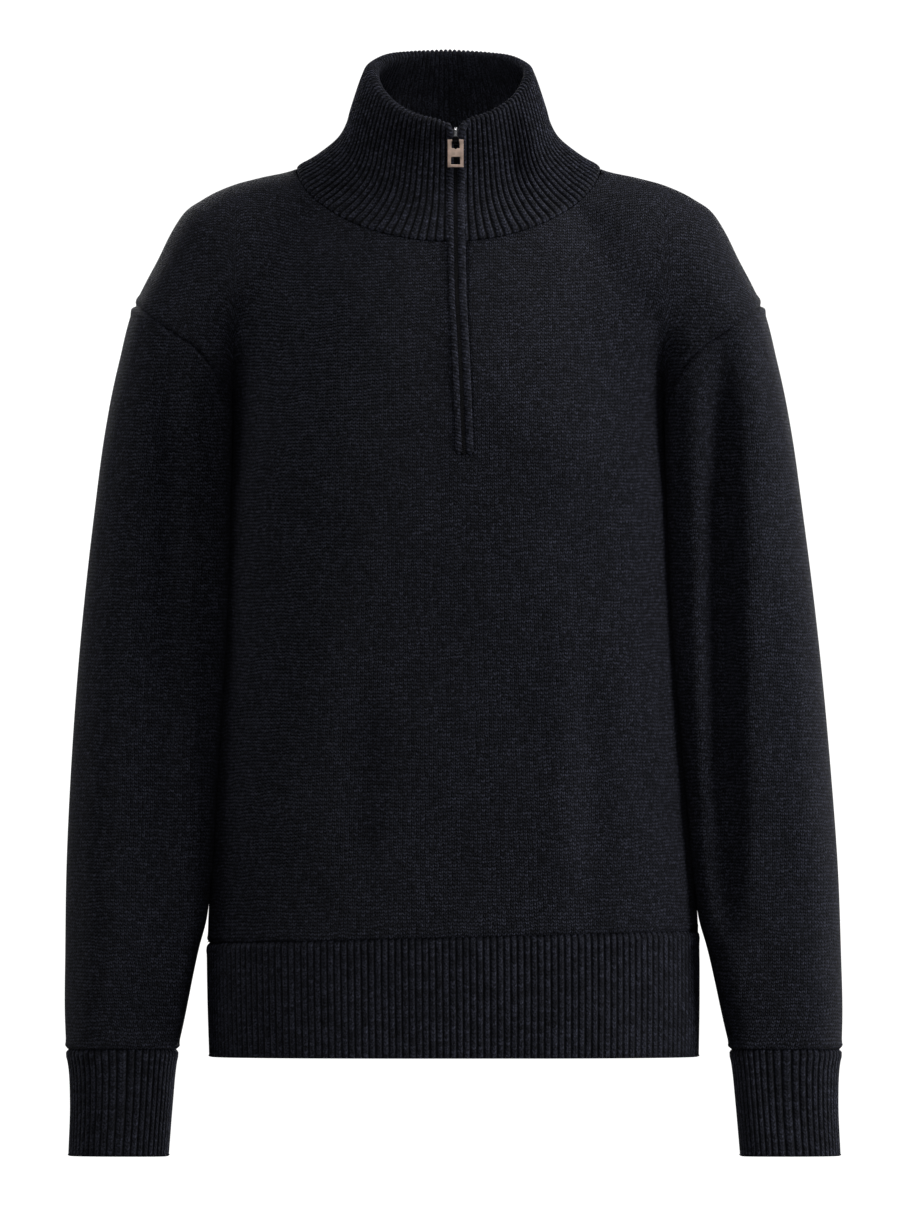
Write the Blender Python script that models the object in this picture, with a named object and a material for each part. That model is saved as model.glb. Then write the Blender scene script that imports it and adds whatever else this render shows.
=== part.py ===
"""A plain-knit half-zip sweater with a ribbed mock collar, hem and cuffs, filled out as worn.

The front faces -Y and +X is the wearer's left. Every size below is in millimetres, and
make_object turns them into metres. The origin lies between the wearer's shoulders, at the
height where the cloth rests on them.

The whole garment is one surface, given by how far it stands in front of or behind a middle
line for each place in the front view. The torso and the arm each have a rounded bump, and
the surface is the smooth larger of the two, so the crease between them comes by itself.
Each panel is a grid of that surface with a wall inside it.
"""

import math

import bmesh
import bpy
import numpy as np
from mathutils import Matrix, Vector

MM = 0.001

WALL = 3.0
SEAM_GAP = 0.3
TAPE_WALL = 1.0

# Heights of the cutting lines.
TIP_Z = -89.0
PIT_Z = -185.0
HEM_SEAM_Z = -555.6
HEM_Z = -646.0
CUFF_SEAM_Z = -639.0
CUFF_Z = -719.0
ZIP_FOOT_Z = -200.3
HEM_SEAM_TILT = 0.025

# The neckline: its half width, and how far it dips in front and rises behind.
NECK_HALF = 113.0
NECK_DIP = 55.0
NECK_RISE = 11.0
NECK_POWER = 0.6

# The collar's rim, which the neck inside it shapes.
RIM_HALF = 60.5
RIM_FRONT_Y = -77.0
RIM_BACK_Y = 50.0

# Ribs: how far they stand out, and how many go round each piece.
RIB_RAISE = 1.2
HEM_RIBS = 94
CUFF_RIBS = 48
RIBS_PER_NECK_CELL = 3

# The zip: two rolled strips over a narrow chain.
STRIP_WIDTH = 5.2
STRIP_GAP = 3.0
STRIP_BACK, STRIP_SIDE, STRIP_FRONT = -0.6, 0.5, 1.8
STRIP_ROUNDING = 0.8
SLOT_HALF = STRIP_GAP / 2 + STRIP_WIDTH + SEAM_GAP
TAPE_HALF = SLOT_HALF - 1.2
TAPE_SPACE = 0.6
TAPE_PAST_FOOT = 6.0
CHAIN_HALF = 2.5
CHAIN_BACK, CHAIN_FACE = -WALL - 0.1, -1.1

# Rounding of the sections, and how far below the shoulder line the chest and the back are full.
TORSO_POWER = 2.6
ARM_POWER = 2.3
BLEND_POWER = 7.0
SHOULDER_ROUNDING = 46.0
SLOPES = {"front": (230.0, 1.5), "back": (150.0, 1.8)}
FULL_FOLD_DEPTH = 30.0
ARMHOLE_POWER = 0.9

# Grid counts.
SHOULDER_CELLS = 9
NECK_CELLS = 7
SIDE_ROWS = 8
ARMHOLE_ROWS = 12
SLEEVE_ROWS = 14
SLEEVE_SPREAD = 1.15
COLLAR_ROWS = 5
SHOULDER_SHARE = 0.66
FINE = 200


class Table:
    """Rows of named columns. A column is read as a smooth curve of the first one."""

    def __init__(self, names, rows):
        self.names = names.split()
        self.rows = np.array(sorted(rows), float)

    def __call__(self, name, at):
        xs = self.rows[:, 0]
        ys = self.rows[:, self.names.index(name)]
        steps = np.diff(xs)
        secants = np.diff(ys) / steps
        inner = (secants[1:] * steps[:-1] + secants[:-1] * steps[1:]) / (steps[1:] + steps[:-1])
        slopes = np.concatenate([secants[:1], inner, secants[-1:]])
        at = np.clip(np.asarray(at, float), xs[0], xs[-1])
        low = np.clip(np.searchsorted(xs, at) - 1, 0, len(steps) - 1)
        step = steps[low]
        t = (at - xs[low]) / step
        rise = ys[low] * (1 + 2 * t) * (1 - t) ** 2 + ys[low + 1] * t**2 * (3 - 2 * t)
        return rise + step * t * (1 - t) * (slopes[low] * (1 - t) - slopes[low + 1] * t)


# The outline of a shoulder in the front view, out from the centre. Above the neckline it
# goes on over the neck, where no cloth is.
SHOULDER = Table(
    "x z",
    [
        (0.0, 52.0),
        (45.0, 46.0),
        (80.0, 31.0),
        (113.0, 12.0),
        (140.0, 5.5),
        (160.0, 0.0),
        (182.0, -10.5),
        (197.0, -22.0),
        (206.0, -36.5),
        (215.0, -55.0),
        (224.0, -72.0),
        (232.4, -89.0),
    ],
)

# The arm tube: outer edge, inner edge, middle line, and depths before and behind it.
ARM = Table(
    "z outer inner mid front back",
    [
        (12.0, 130.0, 40.0, 0.0, 40.0, 40.0),
        (-22.0, 197.0, 95.0, -1.0, 50.0, 52.0),
        (-57.0, 216.0, 112.0, -2.0, 59.0, 61.0),
        (-89.0, 232.4, 146.0, -3.0, 63.0, 66.0),
        (-130.0, 243.5, 156.0, -4.5, 65.0, 68.0),
        (-152.0, 248.5, 159.0, -5.0, 65.0, 68.0),
        (-185.0, 254.5, 160.0, -6.0, 64.0, 68.0),
        (-240.0, 262.0, 164.0, -7.0, 60.0, 66.0),
        (-330.0, 272.5, 168.5, -10.0, 58.0, 62.0),
        (-430.0, 281.0, 175.0, -14.0, 57.0, 58.0),
        (-520.0, 286.0, 180.2, -18.0, 54.0, 54.0),
        (-545.0, 286.6, 183.0, -19.0, 52.5, 52.5),
        (-566.0, 287.0, 188.3, -20.0, 51.0, 51.0),
        (-621.0, 287.5, 200.0, -23.0, 44.0, 44.0),
        (-639.0, 286.6, 204.0, -24.0, 40.0, 40.0),
        (-655.0, 284.4, 206.4, -25.0, 35.0, 35.0),
        (-677.0, 283.6, 208.5, -26.0, 32.5, 32.5),
        (-719.0, 285.0, 212.0, -28.0, 32.0, 32.0),
    ],
)

# The torso tube: half width, middle line, and depths before and behind it.
TORSO = Table(
    "z half mid front back",
    [
        (52.0, 230.0, 0.0, 135.0, 108.0),
        (0.0, 225.0, 0.0, 135.0, 108.0),
        (-57.0, 207.0, -2.0, 135.0, 108.0),
        (-89.0, 189.0, -3.0, 135.0, 108.0),
        (-130.0, 166.0, -4.5, 135.0, 108.0),
        (-152.0, 161.5, -5.0, 135.0, 107.0),
        (-185.0, 160.0, -6.0, 135.0, 106.0),
        (-240.0, 162.5, -7.0, 134.0, 103.0),
        (-330.0, 167.0, -9.0, 125.0, 96.0),
        (-430.0, 173.5, -11.0, 114.0, 92.0),
        (-500.0, 178.5, -12.0, 107.0, 95.0),
        (-556.0, 181.5, -13.0, 102.0, 98.0),
        (-600.0, 181.5, -13.5, 100.0, 98.0),
        (-646.0, 180.5, -14.0, 100.0, 97.0),
    ],
)

# How far the lower garment swings to the wearer's left.
SWAY = Table(
    "z x",
    [(52.0, 0.0), (-230.0, 0.0), (-330.0, 0.7), (-430.0, 1.7), (-520.0, 2.9), (-640.0, 4.0), (-719.0, 4.4)],
)

# The zip's line, which drifts to the wearer's left as it goes down.
ZIP_LINE = Table("z x", [(42.0, 5.2), (-43.0, 5.5), (-85.0, 6.4), (-122.0, 8.4), (-200.0, 11.5)])

# The rim's height from the front, round the side to the back.
RIM = Table(
    "turn z",
    [
        (0.0, 42.0),
        (30.0, 50.0),
        (45.0, 58.0),
        (60.0, 68.5),
        (75.0, 79.5),
        (90.0, 87.0),
        (112.0, 94.0),
        (128.0, 98.5),
        (180.0, 99.5),
    ],
)

# How much of its flare over the shoulder the collar still has at each share of its height.
FLARE = Table(
    "share left",
    [
        (0.0, 1.0),
        (0.15, 0.66),
        (0.29, 0.41),
        (0.43, 0.285),
        (0.57, 0.225),
        (0.72, 0.155),
        (0.86, 0.085),
        (1.0, 0.0),
    ],
)

# Long soft folds of the front view, from top to bottom. A negative depth is a trough.
# Columns: face, x_top, z_top, x_foot, z_foot, bow, width, depth.
FOLDS = [
    ("front", 205.0, -110.0, 209.0, -505.0, 2.0, 8.0, -8.0),
    ("front", 194.0, -105.0, 198.0, -430.0, 2.0, 8.0, 3.0),
    ("front", -207.0, -115.0, -214.0, -600.0, 6.0, 12.0, -5.0),
    ("front", 103.0, -330.0, 101.0, -560.0, -3.0, 14.0, -5.0),
    ("front", 80.0, -300.0, 78.0, -560.0, -3.0, 13.0, 2.5),
    ("front", -60.0, -330.0, -64.0, -560.0, 3.0, 15.0, -3.5),
    ("front", -137.0, -215.0, -70.0, -270.0, 8.0, 12.0, -3.0),
    ("front", 137.0, -215.0, 75.0, -275.0, 8.0, 12.0, -3.0),
    ("back", -66.0, -330.0, -80.0, -560.0, 5.0, 18.0, -5.0),
    ("back", 58.0, -350.0, 74.0, -560.0, -5.0, 18.0, -4.0),
    ("back", -222.0, -200.0, -228.0, -590.0, 5.0, 12.0, -5.0),
    ("back", 222.0, -200.0, 230.0, -560.0, -5.0, 12.0, -5.0),
]


def arm_middle(z):
    return (ARM("outer", z) + ARM("inner", z)) / 2


def arm_half(z):
    return (ARM("outer", z) - ARM("inner", z)) / 2


def dome_half(z):
    """The arm's half width, kept to a shoulder's rounding near its top."""
    return np.minimum(arm_half(z), SHOULDER_ROUNDING)


def superellipse(share, power):
    return (1 - np.clip(np.abs(share), 0, 1) ** power) ** (1 / power)


def outline_points():
    """The outline of the wearer's left side, from over the neck to the cuff's edge."""
    across = np.linspace(0, SHOULDER.rows[-1, 0], FINE // 2)
    down = np.linspace(TIP_Z, CUFF_Z, FINE // 3)[1:]
    shoulder = np.stack([across, SHOULDER("z", across)], axis=1)
    arm = np.stack([ARM("outer", down), down], axis=1)
    return np.concatenate([shoulder, arm])


OUTLINE = outline_points()


def outline_distance(x, z):
    """How far inside the outline a place of the front view lies, and nothing outside it."""
    spots = np.stack([np.abs(x), z], axis=-1)[..., None, :]
    start, end = OUTLINE[:-1], OUTLINE[1:]
    run = end - start
    share = np.clip(((spots - start) * run).sum(-1) / (run * run).sum(-1), 0, 1)
    nearest = start + share[..., None] * run
    distance = np.sqrt(((spots - nearest) ** 2).sum(-1)).min(-1)
    reach = np.interp(z, OUTLINE[::-1, 1], OUTLINE[::-1, 0])
    return np.where(np.abs(x) < reach, distance, 0.0)


def slope_share(x, z, face):
    """How full the chest or back is, from nothing at the shoulder line to its whole depth."""
    reach, power = SLOPES[face]
    below = np.clip((SHOULDER("z", np.abs(x)) - z) / reach, 0, 1)
    return superellipse(1 - below, power)


def torso_depth(x, z, face):
    return TORSO(face, z) * superellipse(x / TORSO("half", z), TORSO_POWER) * slope_share(x, z, face)


def arm_depth(x, z, face):
    middle = ARM("outer", z) - dome_half(z)
    inner_reach = middle - ARM("inner", z)
    outward = superellipse(np.clip(1 - outline_distance(x, z) / dome_half(z), 0, 1), ARM_POWER)
    inward = superellipse(np.clip((middle - np.abs(x)) / inner_reach, 0, 1), ARM_POWER)
    return ARM(face, z) * outward * inward


def fold_depth(x, z, face):
    total = np.zeros(np.broadcast(x, z).shape)
    for fold_face, x_top, z_top, x_foot, z_foot, bow, width, depth in FOLDS:
        if fold_face != face:
            continue
        run = math.hypot(x_foot - x_top, z_foot - z_top)
        along_x, along_z = (x_foot - x_top) / run, (z_foot - z_top) / run
        along = ((x - x_top) * along_x + (z - z_top) * along_z) / run
        aside = (x - x_top) * along_z - (z - z_top) * along_x
        fade = np.sin(np.pi * np.clip(along, 0, 1)) ** 0.7
        total += depth * fade * np.exp(-(((aside - bow * fade) / width) ** 2))
    return total


def depth(x, z, face, part="both"):
    """How far the garment stands before or behind its middle line."""
    x, z = np.asarray(x, float), np.asarray(z, float)
    torso = torso_depth(x, z, face) if part != "arm" else 0.0
    arm = arm_depth(x, z, face) if part != "torso" else 0.0
    whole = (torso**BLEND_POWER + arm**BLEND_POWER) ** (1 / BLEND_POWER)
    return whole + fold_depth(x, z, face) * np.clip(whole / FULL_FOLD_DEPTH, 0, 1)


def middle_line(z, part="both"):
    return ARM("mid", z) if part == "arm" else TORSO("mid", z)


def surface(x, z, face, part="both"):
    """Points of the garment's outside, shape (..., 3)."""
    x, z = np.broadcast_arrays(np.asarray(x, float), np.asarray(z, float))
    sign = -1 if face == "front" else 1
    y = middle_line(z, part) + sign * depth(x, z, face, part)
    return np.stack([x, y, z], axis=-1)


def outward(x, z, face, part="both", edge=False):
    """Unit normals of the garment's outside. At an edge of the outline they lie in the front view's plane."""
    step = 0.6
    x, z = np.broadcast_arrays(np.asarray(x, float), np.asarray(z, float))
    across = (depth(x + step, z, face, part) - depth(x - step, z, face, part)) / (2 * step)
    up = (depth(x, z + step, face, part) - depth(x, z - step, face, part)) / (2 * step)
    sign = -1.0 if face == "front" else 1.0
    facing = np.where(edge, 0.0, sign) * np.ones(x.shape)
    normal = np.stack([-across, facing, -up], axis=-1)
    return normal / np.maximum(np.linalg.norm(normal, axis=-1, keepdims=True), 1e-9)


def sway(points):
    moved = np.array(points, float)
    moved[..., 0] += SWAY("x", moved[..., 2])
    return moved


# ---------------------------------------------------------------- cutting lines


def hem_seam_z(x):
    return HEM_SEAM_Z + HEM_SEAM_TILT * x


def arm_place(turn, z, side):
    """The place in the front view of a turn round the arm: 0 at the inside, pi at the outside."""
    share = np.cos(turn)
    share = np.sign(share) * np.abs(share) ** (2 / ARM_POWER)
    return side * (arm_middle(z) - arm_half(z) * share)


def armhole_z(turn):
    return PIT_Z + (TIP_Z - PIT_Z) * np.abs(np.sin(turn / 2)) ** ARMHOLE_POWER


def neckline_z(x, face):
    """The neckline's height. It meets the shoulder line at the neck's sides."""
    share = 1 - np.clip(np.abs(x) / NECK_HALF, 0, 1) ** 2
    side = SHOULDER("z", NECK_HALF)
    return side - NECK_DIP * share**NECK_POWER if face == "front" else side + NECK_RISE * share


def shoulder_line(count):
    """Places along the shoulder seam, evenly from the armhole's tip to the neck."""
    xs = np.linspace(SHOULDER.rows[-1, 0], NECK_HALF, FINE)
    zs = SHOULDER("z", xs)
    run = np.concatenate([[0], np.cumsum(np.hypot(np.diff(xs), np.diff(zs)))])
    even = np.interp(np.linspace(0, run[-1], count + 1), run, xs)
    return np.stack([even, SHOULDER("z", even)], axis=1)


def slot_heights(top_z):
    """The heights of the corners beside the zip, from its foot to the neckline."""
    shares = np.sin(np.linspace(0, math.pi / 2, ARMHOLE_ROWS + 1))
    return np.concatenate([[ZIP_FOOT_Z], PIT_Z + (top_z - PIT_Z) * shares])


def neck_turns(edge_x):
    """Turns along the neckline, from the neck's side in to edge_x."""
    return np.linspace(math.pi / 2, math.asin(edge_x / NECK_HALF), NECK_CELLS + 1)


def neck_line(edge_x, face):
    xs = NECK_HALF * np.sin(neck_turns(edge_x))
    return np.stack([xs, neckline_z(xs, face)], axis=1)


# ---------------------------------------------------------------- meshes


def make_object(name, points, faces, material):
    mesh = bpy.data.meshes.new(name)
    mesh.from_pydata([tuple(point) for point in np.asarray(points, float) * MM], [], faces)
    mesh.materials.append(material)
    mesh.shade_smooth()
    mesh.set_sharp_from_angle(angle=math.radians(40))
    made = bpy.data.objects.new(name, mesh)
    bpy.context.scene.collection.objects.link(made)
    return made


def panel_wall(name, outer, inner, kept, material):
    """Joins an outer and an inner grid of the same shape, with a rim round every open edge."""
    rows, columns = outer.shape[:2]
    points = np.concatenate([outer.reshape(-1, 3), inner.reshape(-1, 3)])
    inner_start = rows * columns

    def corner(row, column):
        return row * columns + column

    faces = []
    for row in range(rows - 1):
        for column in range(columns - 1):
            if not kept[row, column]:
                continue
            ring = [
                corner(row, column),
                corner(row, column + 1),
                corner(row + 1, column + 1),
                corner(row + 1, column),
            ]
            faces.append(tuple(ring))
            faces.append(tuple(inner_start + index for index in reversed(ring)))
            beside = [(row - 1, column), (row, column + 1), (row + 1, column), (row, column - 1)]
            for side, (next_row, next_column) in enumerate(beside):
                inside = 0 <= next_row < rows - 1 and 0 <= next_column < columns - 1
                if inside and kept[next_row, next_column]:
                    continue
                start, end = ring[side], ring[(side + 1) % 4]
                faces.append((end, start, inner_start + start, inner_start + end))
    used = sorted({index for face in faces for index in face})
    renumbered = {index: place for place, index in enumerate(used)}
    faces = [tuple(renumbered[index] for index in face) for face in faces]
    return make_object(name, points[used], faces, material)


def bridge(first, first_at, second, second_at, second_leads=False):
    """Triangles between two rows of points that run side by side, each with its places along the run."""
    faces = []
    low, high = 0, 0
    while low < len(first) - 1 or high < len(second) - 1:
        step_first = high == len(second) - 1
        if low < len(first) - 1 and not step_first:
            next_second = second_at[high] if second_leads else second_at[high + 1]
            step_first = first_at[low + 1] <= next_second + 1e-9
        if step_first:
            faces.append((first[low], second[high], first[low + 1]))
            low += 1
        else:
            faces.append((first[low], second[high], second[high + 1]))
            high += 1
    return faces


def grid_faces(start, rows, columns, flip):
    faces = []
    for row in range(rows - 1):
        for column in range(columns - 1):
            corner = start + row * columns + column
            ring = (corner, corner + 1, corner + columns + 1, corner + columns)
            faces.append(ring[::-1] if flip else ring)
    return faces


def ribbed_wall(name, outer, outer_at, inner, inner_at, material):
    """Joins a fine ribbed outer grid to a coarse plain inner one. Both are open strips."""
    rows, outer_columns = outer.shape[:2]
    inner_columns = inner.shape[1]
    points = np.concatenate([outer.reshape(-1, 3), inner.reshape(-1, 3)])
    start = rows * outer_columns
    faces = grid_faces(0, rows, outer_columns, False) + grid_faces(start, rows, inner_columns, True)
    for row, flip in ((0, False), (rows - 1, True)):
        outer_ids = [row * outer_columns + column for column in range(outer_columns)]
        inner_ids = [start + row * inner_columns + column for column in range(inner_columns)]
        rim = bridge(outer_ids, outer_at, inner_ids, inner_at, second_leads=True)
        faces += [face[::-1] for face in rim] if flip else rim
    for row in range(rows - 1):
        first = (row * outer_columns, start + row * inner_columns)
        above = ((row + 1) * outer_columns, start + (row + 1) * inner_columns)
        faces.append((first[0], above[0], above[1], first[1]))
        last = (first[0] + outer_columns - 1, first[1] + inner_columns - 1)
        top = (above[0] + outer_columns - 1, above[1] + inner_columns - 1)
        faces.append((last[1], top[1], top[0], last[0]))
    return make_object(name, points, faces, material)


def ribbed_ring(name, outer, inner, material):
    """As ribbed_wall, for grids that close on themselves: the last column joins the first."""
    rows, outer_columns = outer.shape[:2]
    inner_columns = inner.shape[1]
    points = np.concatenate([outer.reshape(-1, 3), inner.reshape(-1, 3)])
    start = rows * outer_columns

    def ids(row, columns, first):
        return [first + row * columns + column % columns for column in range(columns + 1)]

    faces = []
    for row in range(rows - 1):
        for columns, first, flip in ((outer_columns, 0, False), (inner_columns, start, True)):
            lower, upper = ids(row, columns, first), ids(row + 1, columns, first)
            for column in range(columns):
                ring = (lower[column], lower[column + 1], upper[column + 1], upper[column])
                faces.append(ring[::-1] if flip else ring)
    outer_at = np.linspace(0, 1, outer_columns + 1)
    inner_at = np.linspace(0, 1, inner_columns + 1)
    for row, flip in ((0, False), (rows - 1, True)):
        rim = bridge(ids(row, outer_columns, 0), outer_at, ids(row, inner_columns, start), inner_at)
        faces += [face[::-1] for face in rim] if flip else rim
    return make_object(name, points, faces, material)


def pull_in(grid, edge):
    """Draws one edge of a grid back from its seam, along the surface and square to the seam."""
    first, second = {
        "left": (grid[:, 0], grid[:, 1]),
        "right": (grid[:, -1], grid[:, -2]),
        "top": (grid[-1], grid[-2]),
        "foot": (grid[0], grid[1]),
    }[edge]
    along = np.gradient(first, axis=0)
    along /= np.linalg.norm(along, axis=-1, keepdims=True)
    way = second - first
    way -= (way * along).sum(-1, keepdims=True) * along
    first += way / np.linalg.norm(way, axis=-1, keepdims=True) * SEAM_GAP / 2


def rib_wave(count):
    """Raised and sunk by turns, from one edge to the other."""
    return np.where(np.arange(count) % 2 == 0, -0.5, 0.5) * RIB_RAISE


# ---------------------------------------------------------------- body panels


def panel_places(side, face, edge_x):
    """Front-view places of one half panel, rows from the hem up, columns from the side in to edge_x(z)."""
    cells = SHOULDER_CELLS + NECK_CELLS
    turns = np.linspace(math.pi / 2, math.asin(SHOULDER_SHARE), SHOULDER_CELLS + 1)
    outer_shares = np.sin(turns)

    def level_row(z_of_x, at):
        half, edge = TORSO("half", at), edge_x(at) * side
        xs = np.empty(cells + 1)
        xs[: SHOULDER_CELLS + 1] = half * outer_shares
        xs[SHOULDER_CELLS:] = np.linspace(half * SHOULDER_SHARE, edge, NECK_CELLS + 1)
        return np.stack([xs, z_of_x(side * xs)], axis=1)

    rows = []
    for row in range(SIDE_ROWS + 1):
        share = row / SIDE_ROWS
        at = HEM_SEAM_Z + (ZIP_FOOT_Z - HEM_SEAM_Z) * share

        def height(x, share=share):
            return hem_seam_z(x) * (1 - share) + ZIP_FOOT_Z * share

        rows.append(level_row(height, at))
    bottom = level_row(lambda x: np.full(x.shape, PIT_Z), PIT_Z)
    rows.append(bottom)

    neck = neck_line(edge_x(neckline_z(0.0, face)) * side, face)
    top = np.concatenate([shoulder_line(SHOULDER_CELLS), neck[1:]])
    turns = np.linspace(0, math.pi, ARMHOLE_ROWS + 1)
    armhole_heights = armhole_z(turns)
    left = np.stack([arm_place(turns, armhole_heights, 1), armhole_heights], axis=1)
    left[0], left[-1] = bottom[0], top[0]
    inner_heights = slot_heights(top[-1, 1])[1:]
    right = np.stack([[edge_x(z) * side for z in inner_heights], inner_heights], axis=1)
    right[-1] = top[-1]
    across = np.linspace(0, 1, cells + 1)[:, None]
    for row in range(1, ARMHOLE_ROWS + 1):
        up = math.sin(turns[row] / 2)
        bilinear = (1 - up) * ((1 - across) * bottom[0] + across * bottom[-1])
        bilinear += up * ((1 - across) * top[0] + across * top[-1])
        ruled = (1 - up) * bottom + up * top + (1 - across) * left[row] + across * right[row]
        rows.append(ruled - bilinear)
    places = np.array(rows)
    places[..., 0] *= side
    return places


def half_panel(side, face, edge_x):
    """Outer and inner grids of one half panel, with its outer seams drawn back."""
    places = panel_places(side, face, edge_x)
    x, z = places[..., 0], places[..., 1]
    pit_row = SIDE_ROWS + 1
    outer = surface(x, z, face)
    normal = outward(x, z, face)
    low = slice(0, pit_row)
    outer[low] = surface(x[low], z[low], face, "torso")
    normal[low] = outward(x[low], z[low], face, "torso")

    outline = np.zeros(x.shape, bool)
    outline[: pit_row + 1, 0] = True
    outline[-1, : SHOULDER_CELLS + 1] = True
    outer[outline, 1] = middle_line(z[outline])
    normal[low, 0] = outward(x[low, 0], z[low, 0], face, "torso", edge=True)
    normal[pit_row, 0] = (0.0, 0.0, -1.0)
    top = slice(0, SHOULDER_CELLS + 1)
    normal[-1, top] = outward(x[-1, top], z[-1, top], face, edge=True)

    inner = outer - WALL * normal
    for grid in (outer, inner):
        pull_in(grid, "left")
        pull_in(grid, "top")
        grid[0, :, 2] = hem_seam_z(grid[0, :, 0]) + SEAM_GAP / 2
    return outer, inner


def body_panel(name, face, material):
    """The front is cut open above the zip's foot, and the back is whole."""
    slot = SLOT_HALF if face == "front" else 0.0

    def edge(side):
        def at(z):
            line = ZIP_LINE("x", z) if face == "front" else 0.0
            return line + side * slot

        return at

    right_outer, right_inner = half_panel(-1, face, edge(-1))
    left_outer, left_inner = half_panel(1, face, edge(1))
    cut = right_outer.shape[1] - 1
    if face == "front":
        outer = np.concatenate([right_outer, left_outer[:, ::-1]], axis=1)
        inner = np.concatenate([right_inner, left_inner[:, ::-1]], axis=1)
    else:
        outer = np.concatenate([right_outer, left_outer[:, -2::-1]], axis=1)
        inner = np.concatenate([right_inner, left_inner[:, -2::-1]], axis=1)
    kept = np.ones((outer.shape[0] - 1, outer.shape[1] - 1), bool)
    if face == "front":
        kept[SIDE_ROWS:, cut] = False
    else:
        outer, inner = outer[:, ::-1], inner[:, ::-1]
    return panel_wall(name, sway(outer), sway(inner), kept, material)


# ---------------------------------------------------------------- sleeves and cuffs


def arm_ring(turns, z, side, level=None):
    """Outer points and normals of the sleeve for turns round the arm: the front first, then the back."""
    z = np.broadcast_to(z, turns.shape)
    x = arm_place(np.where(turns > math.pi, 2 * math.pi - turns, turns), z, side)
    points = np.empty(turns.shape + (3,))
    normals = np.empty(turns.shape + (3,))
    edge = np.isclose(np.sin(turns), 0, atol=1e-6)
    for face, chosen in (("front", turns <= math.pi), ("back", turns > math.pi)):
        points[chosen] = surface(x[chosen], z[chosen], face, "both" if level is None else "arm")
        normals[chosen] = outward(
            x[chosen], z[chosen], face, "both" if level is None else "arm", edge[chosen]
        )
    points[edge, 1] = middle_line(z[edge], "arm")
    return points, normals


def sleeve(name, side, material):
    """A tube from the slanting armhole to the level cuff seam."""
    cells = 2 * ARMHOLE_ROWS
    turns = np.linspace(0, 2 * math.pi, cells + 1)[:-1]
    top = armhole_z(turns)
    outer = np.empty((SLEEVE_ROWS + 1, cells + 1, 3))
    inner = np.empty_like(outer)
    for row in range(SLEEVE_ROWS + 1):
        share = (row / SLEEVE_ROWS) ** SLEEVE_SPREAD
        z = top + (CUFF_SEAM_Z - top) * share
        points, normals = arm_ring(turns, z, side, None if row == 0 else "arm")
        if row == 0:
            normals[0] = (0.0, 0.0, -1.0)
        outer[row, :-1] = points
        inner[row, :-1] = points - WALL * normals
        outer[row, -1], inner[row, -1] = outer[row, 0], inner[row, 0]
    for grid in (outer, inner):
        pull_in(grid, "foot")
        grid[-1, :, 2] = CUFF_SEAM_Z + SEAM_GAP / 2
    outer, inner = sway(outer[::-1]), sway(inner[::-1])
    if side < 0:
        outer, inner = outer[:, ::-1], inner[:, ::-1]
    return ribbed_ring(name, outer[:, :-1], inner[:, :-1], material)


def cuff(name, side, material):
    heights = np.array([CUFF_Z, (CUFF_Z + CUFF_SEAM_Z) / 2, CUFF_SEAM_Z - SEAM_GAP / 2])
    columns = 2 * CUFF_RIBS
    fine = np.linspace(0, 2 * math.pi, columns + 1)[:-1]
    coarse = np.linspace(0, 2 * math.pi, columns // 4 + 1)[:-1]
    wave = rib_wave(columns)
    outer, inner = [], []
    for z in heights:
        points, normals = arm_ring(fine, z, side, "arm")
        flat = normals * (1, 1, 0)
        flat /= np.linalg.norm(flat, axis=-1, keepdims=True)
        outer.append(points + flat * wave[:, None])
        points, normals = arm_ring(coarse, z, side, "arm")
        flat = normals * (1, 1, 0)
        flat /= np.linalg.norm(flat, axis=-1, keepdims=True)
        inner.append(points - flat * WALL)
    outer, inner = sway(np.array(outer)), sway(np.array(inner))
    if side < 0:
        outer, inner = outer[:, ::-1], inner[:, ::-1]
    return ribbed_ring(name, outer, inner, material)


# ---------------------------------------------------------------- hem


def hem_strip(turns, z_share, face):
    """Points and level normals round half the hem, from the wearer's right to left in front."""
    half = TORSO("half", HEM_SEAM_Z)
    x = -half * np.cos(turns)
    z = hem_seam_z(x) * (1 - z_share) + HEM_Z * z_share
    x = x * TORSO("half", z) / half
    points = surface(x, z, face, "torso")
    edge = np.isclose(np.sin(turns), 0, atol=1e-6)
    points[edge, 1] = middle_line(z[edge])
    normals = outward(x, z, face, "torso", edge) * (1, 1, 0)
    return points, normals / np.linalg.norm(normals, axis=-1, keepdims=True)


def even_turns(count, face):
    """Turns that space the hem's ribs evenly round the cloth."""
    turns = np.linspace(0, math.pi, 3 * FINE)
    points, _ = hem_strip(turns, 0.5, face)
    run = np.concatenate([[0], np.cumsum(np.linalg.norm(np.diff(points, axis=0), axis=1))])
    return np.interp(np.linspace(0, run[-1], count), run, turns)


def hem_rib(name, face, material):
    columns = 2 * HEM_RIBS + 1
    fine = even_turns(columns, face)
    coarse = fine[::4]
    wave = rib_wave(columns)
    outer, inner = [], []
    for share in (1.0, 0.5, 0.0):
        points, normals = hem_strip(fine, share, face)
        outer.append(points + normals * wave[:, None])
        points, normals = hem_strip(coarse, share, face)
        inner.append(points - normals * WALL)
    outer, inner = np.array(outer), np.array(inner)
    for grid in (outer, inner):
        pull_in(grid, "left")
        pull_in(grid, "right")
        grid[-1, :, 2] = hem_seam_z(grid[-1, :, 0]) - SEAM_GAP / 2
    outer, inner = sway(outer), sway(inner)
    if face == "back":
        outer, inner = outer[:, ::-1], inner[:, ::-1]
    places = np.linspace(0, 1, columns)
    inner_places = places[::4]
    if face == "back":
        inner_places = 1 - inner_places[::-1]
    return ribbed_wall(name, outer, places, inner, inner_places, material)


# ---------------------------------------------------------------- collar


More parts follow.
